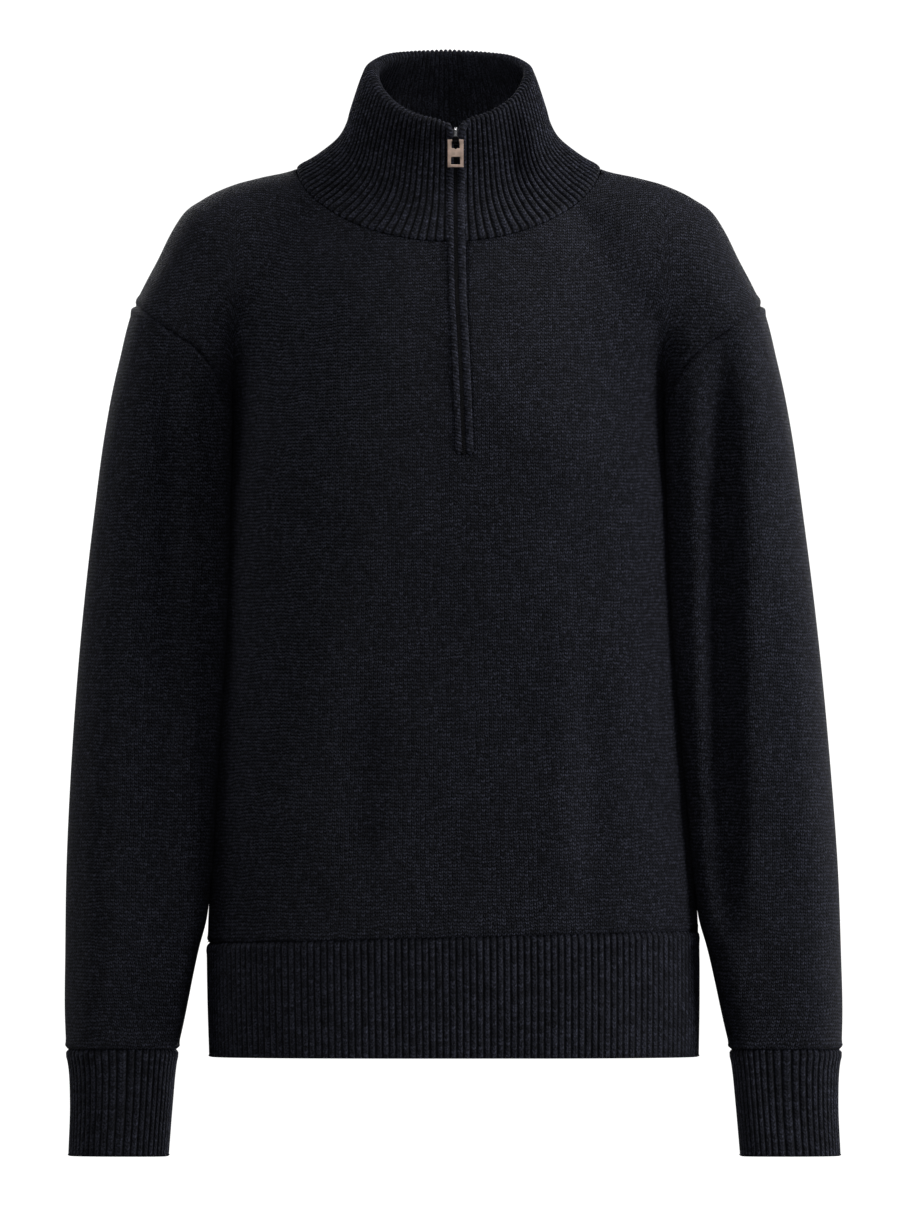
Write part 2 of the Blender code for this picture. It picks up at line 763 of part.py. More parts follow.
def neck_knots():
    """The corners of the panels' necklines, from the front's left edge round to its right one."""
    line = float(ZIP_LINE("x", neckline_z(0.0, "front")))
    left = neck_turns(SLOT_HALF + line)[::-1]
    right = 2 * math.pi - neck_turns(SLOT_HALF - line)
    back = math.pi - neck_turns(0.0)
    middle = math.asin(line / NECK_HALF)
    turns = np.concatenate([[middle], left, back[1:], (2 * math.pi - back[::-1])[1:], right[1:], [middle]])
    turns[-1] += 2 * math.pi
    x = NECK_HALF * np.sin(turns)
    points = np.empty(turns.shape + (3,))
    normals = np.empty(turns.shape + (3,))
    side = np.isclose(np.abs(x), NECK_HALF, atol=1e-4)
    for face, chosen in (("front", np.cos(turns) > 1e-9), ("back", np.cos(turns) <= 1e-9)):
        z = neckline_z(x[chosen], face)
        points[chosen] = surface(x[chosen], z, face)
        normals[chosen] = outward(x[chosen], z, face, edge=side[chosen])
    points[side, 1] = middle_line(points[side, 2])
    return turns, points, normals


NECK_KNOTS = neck_knots()


def neck_base(turn):
    """The collar's foot, on the straight runs between those corners, and the panels' normals there."""
    turns, points, normals = NECK_KNOTS
    foot = np.stack([np.interp(turn, turns, points[:, axis]) for axis in range(3)], axis=-1)
    out = np.stack([np.interp(turn, turns, normals[:, axis]) for axis in range(3)], axis=-1)
    return foot, out / np.linalg.norm(out, axis=-1, keepdims=True)


def rim_points(turn):
    depth_half = (RIM_BACK_Y - RIM_FRONT_Y) / 2
    middle = (RIM_BACK_Y + RIM_FRONT_Y) / 2
    degrees = np.degrees(np.abs(np.where(turn > math.pi, 2 * math.pi - turn, turn)))
    return np.stack([RIM_HALF * np.sin(turn), middle - depth_half * np.cos(turn), RIM("z", degrees)], axis=-1)


def collar_points(turn, share):
    """The collar's outside at a turn round the neck and a share of its height."""
    base, _ = neck_base(turn)
    rim = rim_points(turn)
    left = FLARE("left", share)
    points = rim + (base - rim) * left
    points[..., 2] = base[..., 2] + (rim[..., 2] - base[..., 2]) * share
    return points


def collar_normals(turn, share):
    step = 0.01
    around = collar_points(turn + step, share) - collar_points(turn - step, share)
    up = collar_points(turn, min(share + step, 1.0)) - collar_points(turn, max(share - step, 0.0))
    normal = np.cross(around, up)
    normal /= np.linalg.norm(normal, axis=-1, keepdims=True)
    if share < 1e-6:
        _, normal = neck_base(turn)
    return normal


def turn_at_zip(share, aside):
    """The turn that lies a distance aside from the zip's line, at a share of the collar's height."""
    reach = RIM_HALF + (NECK_HALF - RIM_HALF) * FLARE("left", share)
    height = neckline_z(0.0, "front") * (1 - share) + RIM("z", 0.0) * share
    return math.asin((ZIP_LINE("x", height) + aside) / reach)


def collar(name, material):
    knots = NECK_KNOTS[0][1:-1]
    per_cell = 2 * RIBS_PER_NECK_CELL
    columns = per_cell * (len(knots) - 1) + 1
    places = np.linspace(0, 1, columns)
    base = np.interp(np.arange(columns) / per_cell, np.arange(len(knots)), knots)
    base = (base - knots[0]) / (knots[-1] - knots[0])
    wave = rib_wave(columns)
    outer, inner = [], []
    for share in np.linspace(0, 1, COLLAR_ROWS + 1):
        start = turn_at_zip(share, SLOT_HALF)
        end = 2 * math.pi + turn_at_zip(share, -SLOT_HALF)
        fine = start + (end - start) * base
        coarse = fine[::per_cell]
        raised = wave[:, None] * min(1.0, 0.35 + share * 3)
        outer.append(collar_points(fine, share) + collar_normals(fine, share) * raised)
        inner.append(collar_points(coarse, share) - collar_normals(coarse, share) * WALL)
    outer, inner = np.array(outer), np.array(inner)
    for grid in (outer, inner):
        pull_in(grid, "foot")
    return ribbed_wall(name, outer, places, inner, places[::per_cell], material)


# ---------------------------------------------------------------- zip


def zip_spine():
    """Places down the zip from the collar's rim to its foot, with the way out of the cloth."""
    points, normals = [], []
    for share in np.linspace(1, 0, COLLAR_ROWS + 1)[:-1]:
        turn = np.array([turn_at_zip(share, 0.0)])
        points.append(collar_points(turn, share)[0])
        normals.append(collar_normals(turn, share)[0])
    for z in slot_heights(float(neckline_z(0.0, "front")))[::-1]:
        x = ZIP_LINE("x", z)
        points.append(surface(x, z, "front"))
        normals.append(outward(x, z, "front"))
    normals = np.array(normals) * (0, 1, 1)
    return np.array(points), normals / np.linalg.norm(normals, axis=-1, keepdims=True)


SPINE, SPINE_OUT = zip_spine()


def spine_part(top_z, foot_z):
    """The spine's stretch between two heights, with a point at each end."""
    heights = SPINE[::-1, 2]
    kept = [z for z in SPINE[:, 2] if foot_z < z < top_z]
    at = np.array([top_z, *kept, foot_z])
    columns = [np.interp(at, heights, SPINE[::-1, axis]) for axis in range(3)]
    out = [np.interp(at, heights, SPINE_OUT[::-1, axis]) for axis in range(3)]
    return np.stack(columns, axis=1), np.stack(out, axis=1)


def strip_along_zip(name, section, top_z, foot_z, material):
    """A bar along the zip with the given section: places across it and out of the cloth."""
    points, out = spine_part(top_z, foot_z)
    across = np.array([1.0, 0.0, 0.0])
    rings = [
        [point + across * aside + way * proud for aside, proud in section]
        for point, way in zip(points, out)
    ]
    rings = np.array(rings)
    count = len(section)
    last = (len(rings) - 1) * count
    faces = [tuple(range(count))[::-1], tuple(range(last, last + count))]
    for ring in range(0, last, count):
        for spot in range(count):
            ahead = (spot + 1) % count
            faces.append((ring + spot, ring + ahead, ring + count + ahead, ring + count + spot))
    return make_object(name, rings.reshape(-1, 3), faces, material)


def placket_section(side):
    """A rolled strip beside the zip, flat behind and round in front."""
    inner, outer = STRIP_GAP / 2, STRIP_GAP / 2 + STRIP_WIDTH
    shoulder = STRIP_FRONT - SEAM_GAP
    section = [
        (inner, STRIP_BACK),
        (outer, STRIP_BACK),
        (outer, STRIP_SIDE),
        (outer - STRIP_ROUNDING, shoulder),
        ((inner + outer) / 2, STRIP_FRONT),
        (inner + STRIP_ROUNDING, shoulder),
        (inner, STRIP_SIDE),
    ]
    return [(side * aside, proud) for aside, proud in section][:: 1 if side > 0 else -1]


def box_section(half, low, high):
    return [(-half, low), (half, low), (half, high), (-half, high)]


# ---------------------------------------------------------------- slider and pull tab

SLIDER_Z = 36.0
BAIL_HALF = 1.2
BAIL_TOP, BAIL_FOOT = 6.5, -6.7
BAIL_BAR = 1.1
BAIL_FOOT_DEPTH = -1.5
BAIL_REACH = 5.1
BAIL_CORNER = 0.6
SLIDER_HALF = 3.6
SLIDER_BACK, SLIDER_FACE = -3.1, -0.9
TAB_HALF, TAB_TOP, TAB_LENGTH = 5.9, -3.7, 20.6
TAB_BACK, TAB_THICK = 2.1, 1.5
TAB_BAR = 1.4
TAB_HOLES = {"upper": (2.95, 5.0), "lower": (3.35, 5.6)}
TAB_FOOT_BAR = 2.1


def slider_frame():
    """Turns a place across, out and up from the slider's middle into a place in millimetres."""
    points, out = spine_part(SLIDER_Z + 5, SLIDER_Z - 5)
    middle = (points[0] + points[-1]) / 2
    up = points[0] - points[-1]
    up /= np.linalg.norm(up)
    facing = np.cross(up, (1.0, 0.0, 0.0))
    facing *= np.sign(facing @ out[0])

    def place(across, proud, height):
        return middle + np.array([across, 0.0, 0.0]) + facing * proud + up * height

    return place


def extruded(name, outline, low, high, place, material):
    """A block drawn across the slider between two places, with its outline in the other two directions."""
    work = bmesh.new()
    flat = [work.verts.new(place(low, *spot)) for spot in outline]
    face = work.faces.new(flat)
    raised = bmesh.ops.extrude_face_region(work, geom=[face])
    moved = [item for item in raised["geom"] if isinstance(item, bmesh.types.BMVert)]
    shift = Vector(place(high, 0, 0)) - Vector(place(low, 0, 0))
    bmesh.ops.translate(work, verts=moved, vec=shift)
    bmesh.ops.recalc_face_normals(work, faces=work.faces)
    work.transform(Matrix.Scale(MM, 4))
    mesh = bpy.data.meshes.new(name)
    work.to_mesh(mesh)
    work.free()
    mesh.materials.append(material)
    made = bpy.data.objects.new(name, mesh)
    bpy.context.scene.collection.objects.link(made)
    return made


def use_boolean(target, other, operation):
    other.hide_render = True
    other.display_type = "WIRE"
    cut = target.modifiers.new(other.name, "BOOLEAN")
    cut.operation = operation
    cut.object = other


def box(name, across, proud, height, frame, material):
    """A block between pairs of places across, out and up."""
    outline = [(proud[0], height[0]), (proud[1], height[0]), (proud[1], height[1]), (proud[0], height[1])]
    return extruded(name, outline, across[0], across[1], frame, material)


def zip_slider(frame, material):
    """A flat slider under the strips, with a bail that stands out between them."""
    reach, root, bar, corner = BAIL_REACH, BAIL_FOOT_DEPTH, BAIL_BAR, BAIL_CORNER
    arch = [
        (root, BAIL_FOOT),
        (reach - corner, BAIL_FOOT),
        (reach, BAIL_FOOT + corner),
        (reach, BAIL_TOP - corner),
        (reach - corner, BAIL_TOP),
        (root, BAIL_TOP),
        (root, BAIL_TOP - bar),
        (reach - bar, BAIL_TOP - bar),
        (reach - bar, BAIL_FOOT + bar),
        (root, BAIL_FOOT + bar),
    ]
    bail = extruded("bail_guide", arch, -BAIL_HALF, BAIL_HALF, frame, material)
    spans = ((-SLIDER_HALF, SLIDER_HALF), (SLIDER_BACK, SLIDER_FACE), (BAIL_FOOT, BAIL_TOP))
    slider = box("zip_slider", *spans, frame, material)
    use_boolean(slider, bail, "UNION")
    return slider


def pull_tab(frame, material):
    """A plate whose top bar hangs in the bail, cut through with two square windows."""
    foot = TAB_TOP - TAB_LENGTH
    spans = ((-TAB_HALF, TAB_HALF), (TAB_BACK, TAB_BACK + TAB_THICK), (foot, TAB_TOP))
    tab = box("pull_tab", *spans, frame, material)
    beyond = (TAB_BACK - 1, TAB_BACK + TAB_THICK + 1)
    half, height = TAB_HOLES["upper"]
    top = TAB_TOP - TAB_BAR
    upper = box("upper_window_guide", (-half, half), beyond, (top - height, top), frame, material)
    half, height = TAB_HOLES["lower"]
    low = foot + TAB_FOOT_BAR
    lower = box("lower_window_guide", (-half, half), beyond, (low, low + height), frame, material)
    use_boolean(tab, upper, "DIFFERENCE")
    use_boolean(tab, lower, "DIFFERENCE")
    return tab


# ---------------------------------------------------------------- materials and assembly


def principled(name, color, roughness, metallic=0.0, sheen=0.0):
    material = bpy.data.materials.new(name)
    material.use_nodes = True
    shader = material.node_tree.nodes["Principled BSDF"]
    shader.inputs["Base Color"].default_value = (*color, 1.0)
    shader.inputs["Roughness"].default_value = roughness
    shader.inputs["Metallic"].default_value = metallic
    shader.inputs["Sheen Weight"].default_value = sheen
    material.diffuse_color = (*color, 1.0)
    return material


def main():
    for old in list(bpy.data.objects):
        bpy.data.objects.remove(old, do_unlink=True)
    jersey = principled("navy jersey", (0.012, 0.013, 0.019), 0.9, sheen=0.3)
    rib = principled("navy rib", (0.013, 0.014, 0.021), 0.9, sheen=0.3)
    tape = principled("zip tape", (0.008, 0.009, 0.013), 0.7)
    coil = principled("zip coil", (0.020, 0.020, 0.028), 0.5)
    silver = principled("silver metal", (0.75, 0.75, 0.77), 0.25, metallic=1.0)
    copper = principled("pale copper metal", (0.80, 0.62, 0.50), 0.3, metallic=1.0)

    body_panel("front_panel", "front", jersey)
    body_panel("back_panel", "back", jersey)
    for word, side in (("left", 1), ("right", -1)):
        sleeve(f"sleeve_{word}", side, jersey)
        cuff(f"cuff_{word}", side, rib)
    hem_rib("hem_rib_front", "front", rib)
    hem_rib("hem_rib_back", "back", rib)
    collar("collar", rib)

    strip_top = float(RIM("z", 0.0)) - SEAM_GAP
    strip_foot = ZIP_FOOT_Z + SEAM_GAP
    strip_along_zip("placket_left", placket_section(1), strip_top, strip_foot, jersey)
    strip_along_zip("placket_right", placket_section(-1), strip_top, strip_foot, jersey)
    tape_back = -WALL - TAPE_SPACE - TAPE_WALL
    tape_section = box_section(TAPE_HALF, tape_back, tape_back + TAPE_WALL)
    strip_along_zip("zip_tape", tape_section, strip_top, ZIP_FOOT_Z - TAPE_PAST_FOOT, tape)
    chain_section = box_section(CHAIN_HALF, CHAIN_BACK, CHAIN_FACE)
    strip_along_zip("zip_chain", chain_section, SLIDER_Z + BAIL_FOOT - SEAM_GAP, strip_foot, coil)

    frame = slider_frame()
    zip_slider(frame, silver)
    pull_tab(frame, copper)


main()
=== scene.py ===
"""The looks of a plain-knit half-zip sweater, filled out as worn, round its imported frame.

The tables hold sizes in millimetres, and MM turns them into metres. The front faces -Y and
+X is the wearer's left. The garment is one surface, given by how far it stands before or
behind a middle line for each place of the front view. Every cloth piece is a fine grid of
that surface with a stitch map: one unit across is one wale, one unit along is one course.
A side is 1 for the wearer's left and -1 for the right.
"""

import math

import bpy
import numpy as np
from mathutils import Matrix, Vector, kdtree

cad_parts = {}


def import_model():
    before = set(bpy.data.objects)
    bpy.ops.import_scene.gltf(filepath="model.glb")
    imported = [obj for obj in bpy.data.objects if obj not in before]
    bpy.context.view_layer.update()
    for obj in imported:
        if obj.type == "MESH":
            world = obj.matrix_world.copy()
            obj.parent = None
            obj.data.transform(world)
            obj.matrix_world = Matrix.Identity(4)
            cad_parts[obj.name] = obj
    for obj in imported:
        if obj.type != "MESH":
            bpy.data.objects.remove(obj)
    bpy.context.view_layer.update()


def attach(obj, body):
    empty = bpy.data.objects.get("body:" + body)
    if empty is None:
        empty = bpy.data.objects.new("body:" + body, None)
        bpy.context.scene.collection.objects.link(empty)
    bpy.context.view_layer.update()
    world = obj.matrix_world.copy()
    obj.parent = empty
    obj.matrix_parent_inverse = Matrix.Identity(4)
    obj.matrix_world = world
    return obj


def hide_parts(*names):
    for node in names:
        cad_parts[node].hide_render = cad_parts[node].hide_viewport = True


MM = 0.001
TURN = 2 * math.pi
QUARTER = TURN / 4

# ---- sizes of the garment

# The armhole's tip and pit, the hem's and cuffs' seams and edges, and the zip's foot.
TIP_Z, PIT_Z = -89.0, -185.0
HEM_SEAM_Z, HEM_Z = -555.6, -646.0
HEM_SEAM_TILT = 0.025
CUFF_SEAM_Z, CUFF_Z = -639.0, -719.0
ZIP_FOOT_Z = -200.3

# The neckline on the panels, and the collar's rim.
NECK_HALF, NECK_DIP, NECK_RISE = 113.0, 55.0, 11.0
NECK_POWER = 0.6
RIM_HALF = 60.5
RIM_FRONT_Y, RIM_BACK_Y = -77.0, 50.0
RIM_FRONT_Z = 42.0

# How full the torso and the arms are, and how they run into each other.
TORSO_POWER = 2.6
ARM_POWER, ARM_INNER_POWER = 2.3, 4.2
BLEND_POWER = 7.0
SHOULDER_ROUNDING = 46.0
SLOPES = {"front": (230.0, 1.5), "back": (150.0, 1.8)}
FULL_FOLD_DEPTH, FOLD_END_POWER = 30.0, 0.7
ARMHOLE_POWER = 0.9

# Knit: one wale and one course of the jersey, the ribs round each band, and the walls.
WALE, COURSE, RIB_COURSE = 3.0, 2.7, 3.0
HEM_RIBS, CUFF_RIBS, COLLAR_RIBS = 94, 48, 104
COLUMNS_PER_RIB = 8
RIB_DEPTH, BAND_RIB_DEPTH, RIB_POWER = 1.7, 1.4, 0.75
CLOTH, BAND_WALL = 2.4, 3.4

# The rolled strips beside the zip, the gap that they leave, and where the cloth ends under them.
STRIP_GAP, STRIP_LAP = 3.0, 0.5
STRIP_WIDTHS = {-1: 4.4, 1: 5.6}
ZIP_MARGINS = {side: STRIP_GAP / 2 + width - STRIP_LAP for side, width in STRIP_WIDTHS.items()}


class Table:
    """Rows of named columns. A column is read as a smooth curve of the first one."""

    def __init__(self, names, *rows):
        self.names = names.split()
        self.rows = np.array(sorted(rows), float)

    def __call__(self, name, at):
        xs = self.rows[:, 0]
        ys = self.rows[:, self.names.index(name)]
        steps = np.diff(xs)
        secants = np.diff(ys) / steps
        inner = (secants[1:] * steps[:-1] + secants[:-1] * steps[1:]) / (steps[1:] + steps[:-1])
        slopes = joined(secants[:1], inner, secants[-1:])
        at = np.clip(at, xs[0], xs[-1])
        low = np.clip(np.searchsorted(xs, at) - 1, 0, len(steps) - 1)
        step = steps[low]
        t = (at - xs[low]) / step
        rise = ys[low] * (1 + 2 * t) * (1 - t) ** 2 + ys[low + 1] * t**2 * (3 - 2 * t)
        return rise + step * t * (1 - t) * (slopes[low] * (1 - t) - slopes[low + 1] * t)


# The outline of a shoulder in the front view, out from the centre. Above the neckline it
# goes on over the neck, where no cloth is.
SHOULDER = Table(
    "x z",
    *((0, 52), (45, 46), (80, 31), (113, 12), (140, 5.5), (160, 0), (182, -10.5)),
    *((197, -22), (206, -36.5), (215, -55), (224, -72), (232.4, -89)),
)
SHOULDER_END = SHOULDER.rows[-1, 0]

# The arm tube: outer edge, inner edge, middle line, and depths before and behind it.
ARM = Table(
    "z outer inner mid front back",
    (12, 130, 40, 0, 40, 40),
    (-22, 197, 95, -1, 50, 52),
    (-57, 216, 112, -2, 59, 61),
    (-89, 232.4, 146, -3, 63, 66),
    (-130, 243.5, 156, -4.5, 65, 68),
    (-152, 248.5, 159, -5, 65, 68),
    (-185, 254.5, 160, -6, 64, 68),
    (-240, 262, 164, -7, 60, 66),
    (-330, 272.5, 168.5, -10, 58, 62),
    (-430, 281, 175, -14, 57, 58),
    (-520, 286, 180.2, -18, 54, 54),
    (-545, 286.6, 183, -19, 52.5, 52.5),
    (-566, 287, 188.3, -20, 51, 51),
    (-621, 287.5, 200, -23, 44, 44),
    (-639, 286.6, 204, -24, 40, 40),
    (-655, 284.4, 206.4, -25, 35, 35),
    (-677, 283.6, 208.5, -26, 32.5, 32.5),
    (-719, 285, 212, -28, 32, 32),
)

# The torso tube: half width, middle line, and depths before and behind it.
TORSO = Table(
    "z half mid front back",
    (52, 230, 0, 135, 108),
    (0, 225, 0, 135, 108),
    (-57, 207, -2, 135, 108),
    (-89, 189, -3, 135, 108),
    (-130, 166, -4.5, 135, 108),
    (-152, 161.5, -5, 135, 107),
    (-185, 160, -6, 135, 106),
    (-240, 162.5, -7, 134, 103),
    (-330, 167, -9, 125, 96),
    (-430, 173.5, -11, 114, 92),
    (-500, 178.5, -12, 107, 95),
    (-556, 181.5, -13, 102, 98),
    (-600, 181.5, -13.5, 100, 98),
    (-646, 180.5, -14, 100, 97),
)

# How far the arm's inner edge leans on the body's side, so that no light shows between them.
SNUG = Table("z inward", (-185, 0), (-215, 2.2), (-490, 2.2), (-560, 0))

# How far the lower garment swings to the wearer's left.
SWAY = Table(
    "z x", (52, 0), (-230, 0), (-330, 0.7), (-430, 1.7), (-520, 2.9), (-640, 4), (-719, 4.4)
)

# The zip's line, which drifts to the wearer's left as it goes down.
ZIP_LINE = Table("z x", (42, 5.2), (-43, 5.5), (-85, 6.4), (-122, 8.4), (-200, 11.5))

# The rim's height from the front, round the side to the back.
RIM = Table(
    "turn z",
    *((0, 42), (30, 50), (45, 58), (60, 68.5), (75, 79.5)),
    *((90, 87), (112, 93.5), (128, 97.5), (150, 99.8), (180, 101.5)),
)

# How much of its flare over the shoulder the collar still has at each share of its height.
FLARE = Table(
    "share left",
    *((0, 1), (0.15, 0.66), (0.29, 0.41), (0.43, 0.285)),
    *((0.57, 0.225), (0.72, 0.155), (0.86, 0.085), (1, 0)),
)

# Long soft folds of the front view, from top to bottom. A negative depth is a trough.
# Columns: x_top, z_top, x_foot, z_foot, bow, width, depth.
FOLDS = {
    "front": [
        (202.5, -105, 202.5, -560, 2, 10.5, -20),
        (225, -105, 225, -560, 2, 13, 5),
        (184, -105, 184, -450, 2, 9, 2.5),
        (-206, -100, -214, -380, 3, 12, -9),
        (-208, -300, -222, -620, 4, 14, -4),
        (103, -330, 101, -560, -3, 14, -5),
        (80, -300, 78, -560, -3, 13, 2.5),
        (-60, -330, -64, -560, 3, 15, -3.5),
        (-137, -215, -70, -270, 8, 12, -3),
        (137, -215, 75, -275, 8, 12, -3),
    ],
    "back": [
        (-66, -330, -80, -560, 5, 18, -5),
        (58, -350, 74, -560, -5, 18, -4),
        (-222, -200, -228, -590, 5, 12, -5),
        (222, -200, 230, -560, -5, 12, -5),
    ],
}

# Slow ripples that keep the cloth from looking machined: length across, length up, phase, height.
RIPPLES = [
    (210, 150, 0.3, 0.8),
    (-130, 190, 1.9, 0.7),
    (95, -240, 4.1, 0.5),
    (61, 88, 2.7, 0.3),
    (-47, 63, 5.2, 0.22),
]

# ---- curves and grids


def smooth_step(at, low, high):
    share = np.clip((at - low) / (high - low), 0, 1)
    return share * share * (3 - 2 * share)


def superellipse(share, power):
    return (1 - np.clip(np.abs(share), 0, 1) ** power) ** (1 / power)


def signed_power(value, power):
    return np.sign(value) * np.abs(value) ** power


def bell(distance, width):
    return np.exp(-((distance / width) ** 2))


def together(*parts):
    """Arrays as the columns of one, in a new last axis."""
    return np.stack(np.broadcast_arrays(*parts), axis=-1)


def joined(*parts, axis=0):
    return np.concatenate(parts, axis)


def unit(vectors):
    return vectors / np.maximum(np.linalg.norm(vectors, axis=-1, keepdims=True), 1e-9)


def grid_normals(points, ring=False):
    """Unit normals of a grid whose rows go up and columns go round, seen from outside."""
    if ring:
        wide = joined(points[:, -2:-1], points, points[:, 1:2], axis=1)
        across = (wide[:, 2:] - wide[:, :-2]) / 2
    else:
        across = np.gradient(points, axis=1)
    return unit(np.cross(across, np.gradient(points, axis=0)))


def arc(points, axis):
    """Length run along an axis of a grid of points, from its first place."""
    steps = np.linalg.norm(np.diff(points, axis=axis), axis=-1)
    start = np.zeros_like(np.take(steps, [0], axis))
    return joined(start, np.cumsum(steps, axis=axis), axis=axis)


def resample(path, run, at):
    """The places of a path where its run has the values in at."""
    return together(*(np.interp(at, run, line) for line in path.T))


def places_with_edges(length, step, start=(0.0,), end=(0.0,)):
    """Places from 0 to length, about a step apart, with closer ones near either end."""
    count = max(int(round((length - start[-1] - end[-1]) / step)), 1)
    middle = np.linspace(start[-1], length - end[-1], count + 1)
    return joined(start[:-1], middle, length - np.array(end[:-1][::-1]))


# ---- the garment's surface

OUTLINE_STEP = 0.4


def outline_points():
    """The outline of the wearer's left side, from over the neck to the cuff's edge."""
    across = np.arange(0, SHOULDER_END, OUTLINE_STEP)
    down = np.arange(TIP_Z, CUFF_Z, -OUTLINE_STEP)
    shoulder = together(across, SHOULDER("z", across))
    return joined(shoulder, together(ARM("outer", down), down))


OUTLINE = outline_points()
OUTLINE_TREE = kdtree.KDTree(len(OUTLINE))
for number, (across, up) in enumerate(OUTLINE):
    OUTLINE_TREE.insert((across, up, 0.0), number)
OUTLINE_TREE.balance()


def outline_distance(x, z):
    """How far inside the outline a place of the front view lies, and nothing outside it."""
    x = np.abs(x)
    spots = together(x.ravel(), z.ravel())
    nearest = np.array([OUTLINE_TREE.find((across, up, 0.0))[1] for across, up in spots])
    best = np.full(len(spots), np.inf)
    for shift in (-1, 0):
        low = np.clip(nearest + shift, 0, len(OUTLINE) - 2)
        start, run = OUTLINE[low], OUTLINE[low + 1] - OUTLINE[low]
        share = np.clip(((spots - start) * run).sum(1) / (run * run).sum(1), 0, 1)
        best = np.minimum(best, np.linalg.norm(spots - start - share[:, None] * run, axis=1))
    reach = np.interp(z, OUTLINE[::-1, 1], OUTLINE[::-1, 0])
    return np.where(x < reach, best.reshape(x.shape), 0.0)


def inner_edge(z):
    return ARM("inner", z) - SNUG("inward", z)


def torso_depth(x, z, face):
    """How far the torso alone stands from its middle line, sloping away to the shoulder."""
    reach, power = SLOPES[face]
    below = np.clip((SHOULDER("z", np.abs(x)) - z) / reach, 0, 1)
    round_body = superellipse(x / TORSO("half", z), TORSO_POWER)
    return TORSO(face, z) * round_body * superellipse(1 - below, power)


def arm_depth(x, z, face):
    """The same for the arm, whose half width is kept to a shoulder's rounding near its top."""
    half = np.minimum((ARM("outer", z) - inner_edge(z)) / 2, SHOULDER_ROUNDING)
    middle = ARM("outer", z) - half
    inner_reach = middle - inner_edge(z)
    outward = superellipse(np.clip(1 - outline_distance(x, z) / half, 0, 1), ARM_POWER)
    inward = superellipse(np.clip((middle - np.abs(x)) / inner_reach, 0, 1), ARM_INNER_POWER)
    return ARM(face, z) * outward * inward


def fold_depth(x, z, face):
    total = np.zeros(x.shape)
    for x_top, z_top, x_foot, z_foot, bow, width, depth in FOLDS[face]:
        run = math.hypot(x_foot - x_top, z_foot - z_top)
        along_x, along_z = (x_foot - x_top) / run, (z_foot - z_top) / run
        along = ((x - x_top) * along_x + (z - z_top) * along_z) / run
        aside = (x - x_top) * along_z - (z - z_top) * along_x
        fade = np.sin(np.pi * np.clip(along, 0, 1)) ** FOLD_END_POWER
        total += depth * fade * bell(aside - bow * fade, width)
    for across, up, phase, height in RIPPLES:
        total += height * np.sin(2 * np.pi * (x / across + z / up) + phase)
    return total


def surface(x, z, face, torso=None, arm=True):
    """Points of the garment's outside, shape (..., 3). torso fades the torso out beside the
    arm, and without arm the torso stands alone."""
    x, z = np.broadcast_arrays(x, z)
    depth, middle = torso_depth(x, z, face), TORSO("mid", z)
    if torso is not None:
        depth, middle = depth * torso, ARM("mid", z)
    if arm:
        depth = (depth**BLEND_POWER + arm_depth(x, z, face) ** BLEND_POWER) ** (1 / BLEND_POWER)
    depth = depth + fold_depth(x, z, face) * np.clip(depth / FULL_FOLD_DEPTH, 0, 1)
    return together(x, middle - depth if face == "front" else middle + depth, z)


def sway(points):
    moved = np.array(points, float)
    moved[..., 0] += SWAY("x", moved[..., 2])
    return moved


# ---- cutting lines


def arm_place(turn, z, side):
    """The place in the front view of a turn round the arm: 0 at the inside, pi at the outside."""
    share = signed_power(np.cos(turn), 2 / ARM_POWER)
    outer, inner = ARM("outer", z), inner_edge(z)
    return side * ((outer + inner) / 2 - (outer - inner) / 2 * share)


def armhole_z(turn):
    return PIT_Z + (TIP_Z - PIT_Z) * np.abs(np.sin(turn / 2)) ** ARMHOLE_POWER


def neckline_z(x, face):
    """The neckline's height. It meets the shoulder line at the neck's sides."""
    share = 1 - np.clip(np.abs(x) / NECK_HALF, 0, 1) ** 2
    side = SHOULDER("z", NECK_HALF)
    return side - NECK_DIP * share**NECK_POWER if face == "front" else side + NECK_RISE * share


def shoulder_line(shares):
    """Places along the shoulder seam, from the armhole's tip to the neck."""
    xs = np.linspace(SHOULDER_END, NECK_HALF, 600)
    run = arc(together(xs, SHOULDER("z", xs)), 0)
    even = np.interp(shares * run[-1], run, xs)
    return together(even, SHOULDER("z", even))


def panel_edge(side, z, face):
    """Where a half panel ends beside the middle, counted out from x = 0 on its own side."""
    return side * ZIP_LINE("x", z) + ZIP_MARGINS[side] if face == "front" else 0.0 * z


# ---- meshes


def quads(rows, columns, ring, kept, closed):
    """Corner numbers of a grid's faces in its points, and in its stitch map."""
    grid = np.arange(rows * columns).reshape(rows, columns)
    if closed:
        grid = joined(grid, grid[:1])
    places = together(grid[:-1, :-1], grid[:-1, 1:], grid[1:, 1:], grid[1:, :-1])
    places = (places if kept is None else places[kept]).reshape(-1, 4)
    row, column = np.divmod(places, columns)
    return row * (columns - 1) + column % (columns - 1) if ring else places, places


def add_object(name, data):
    made = bpy.data.objects.new(name, data)
    bpy.context.scene.collection.objects.link(made)
    return made


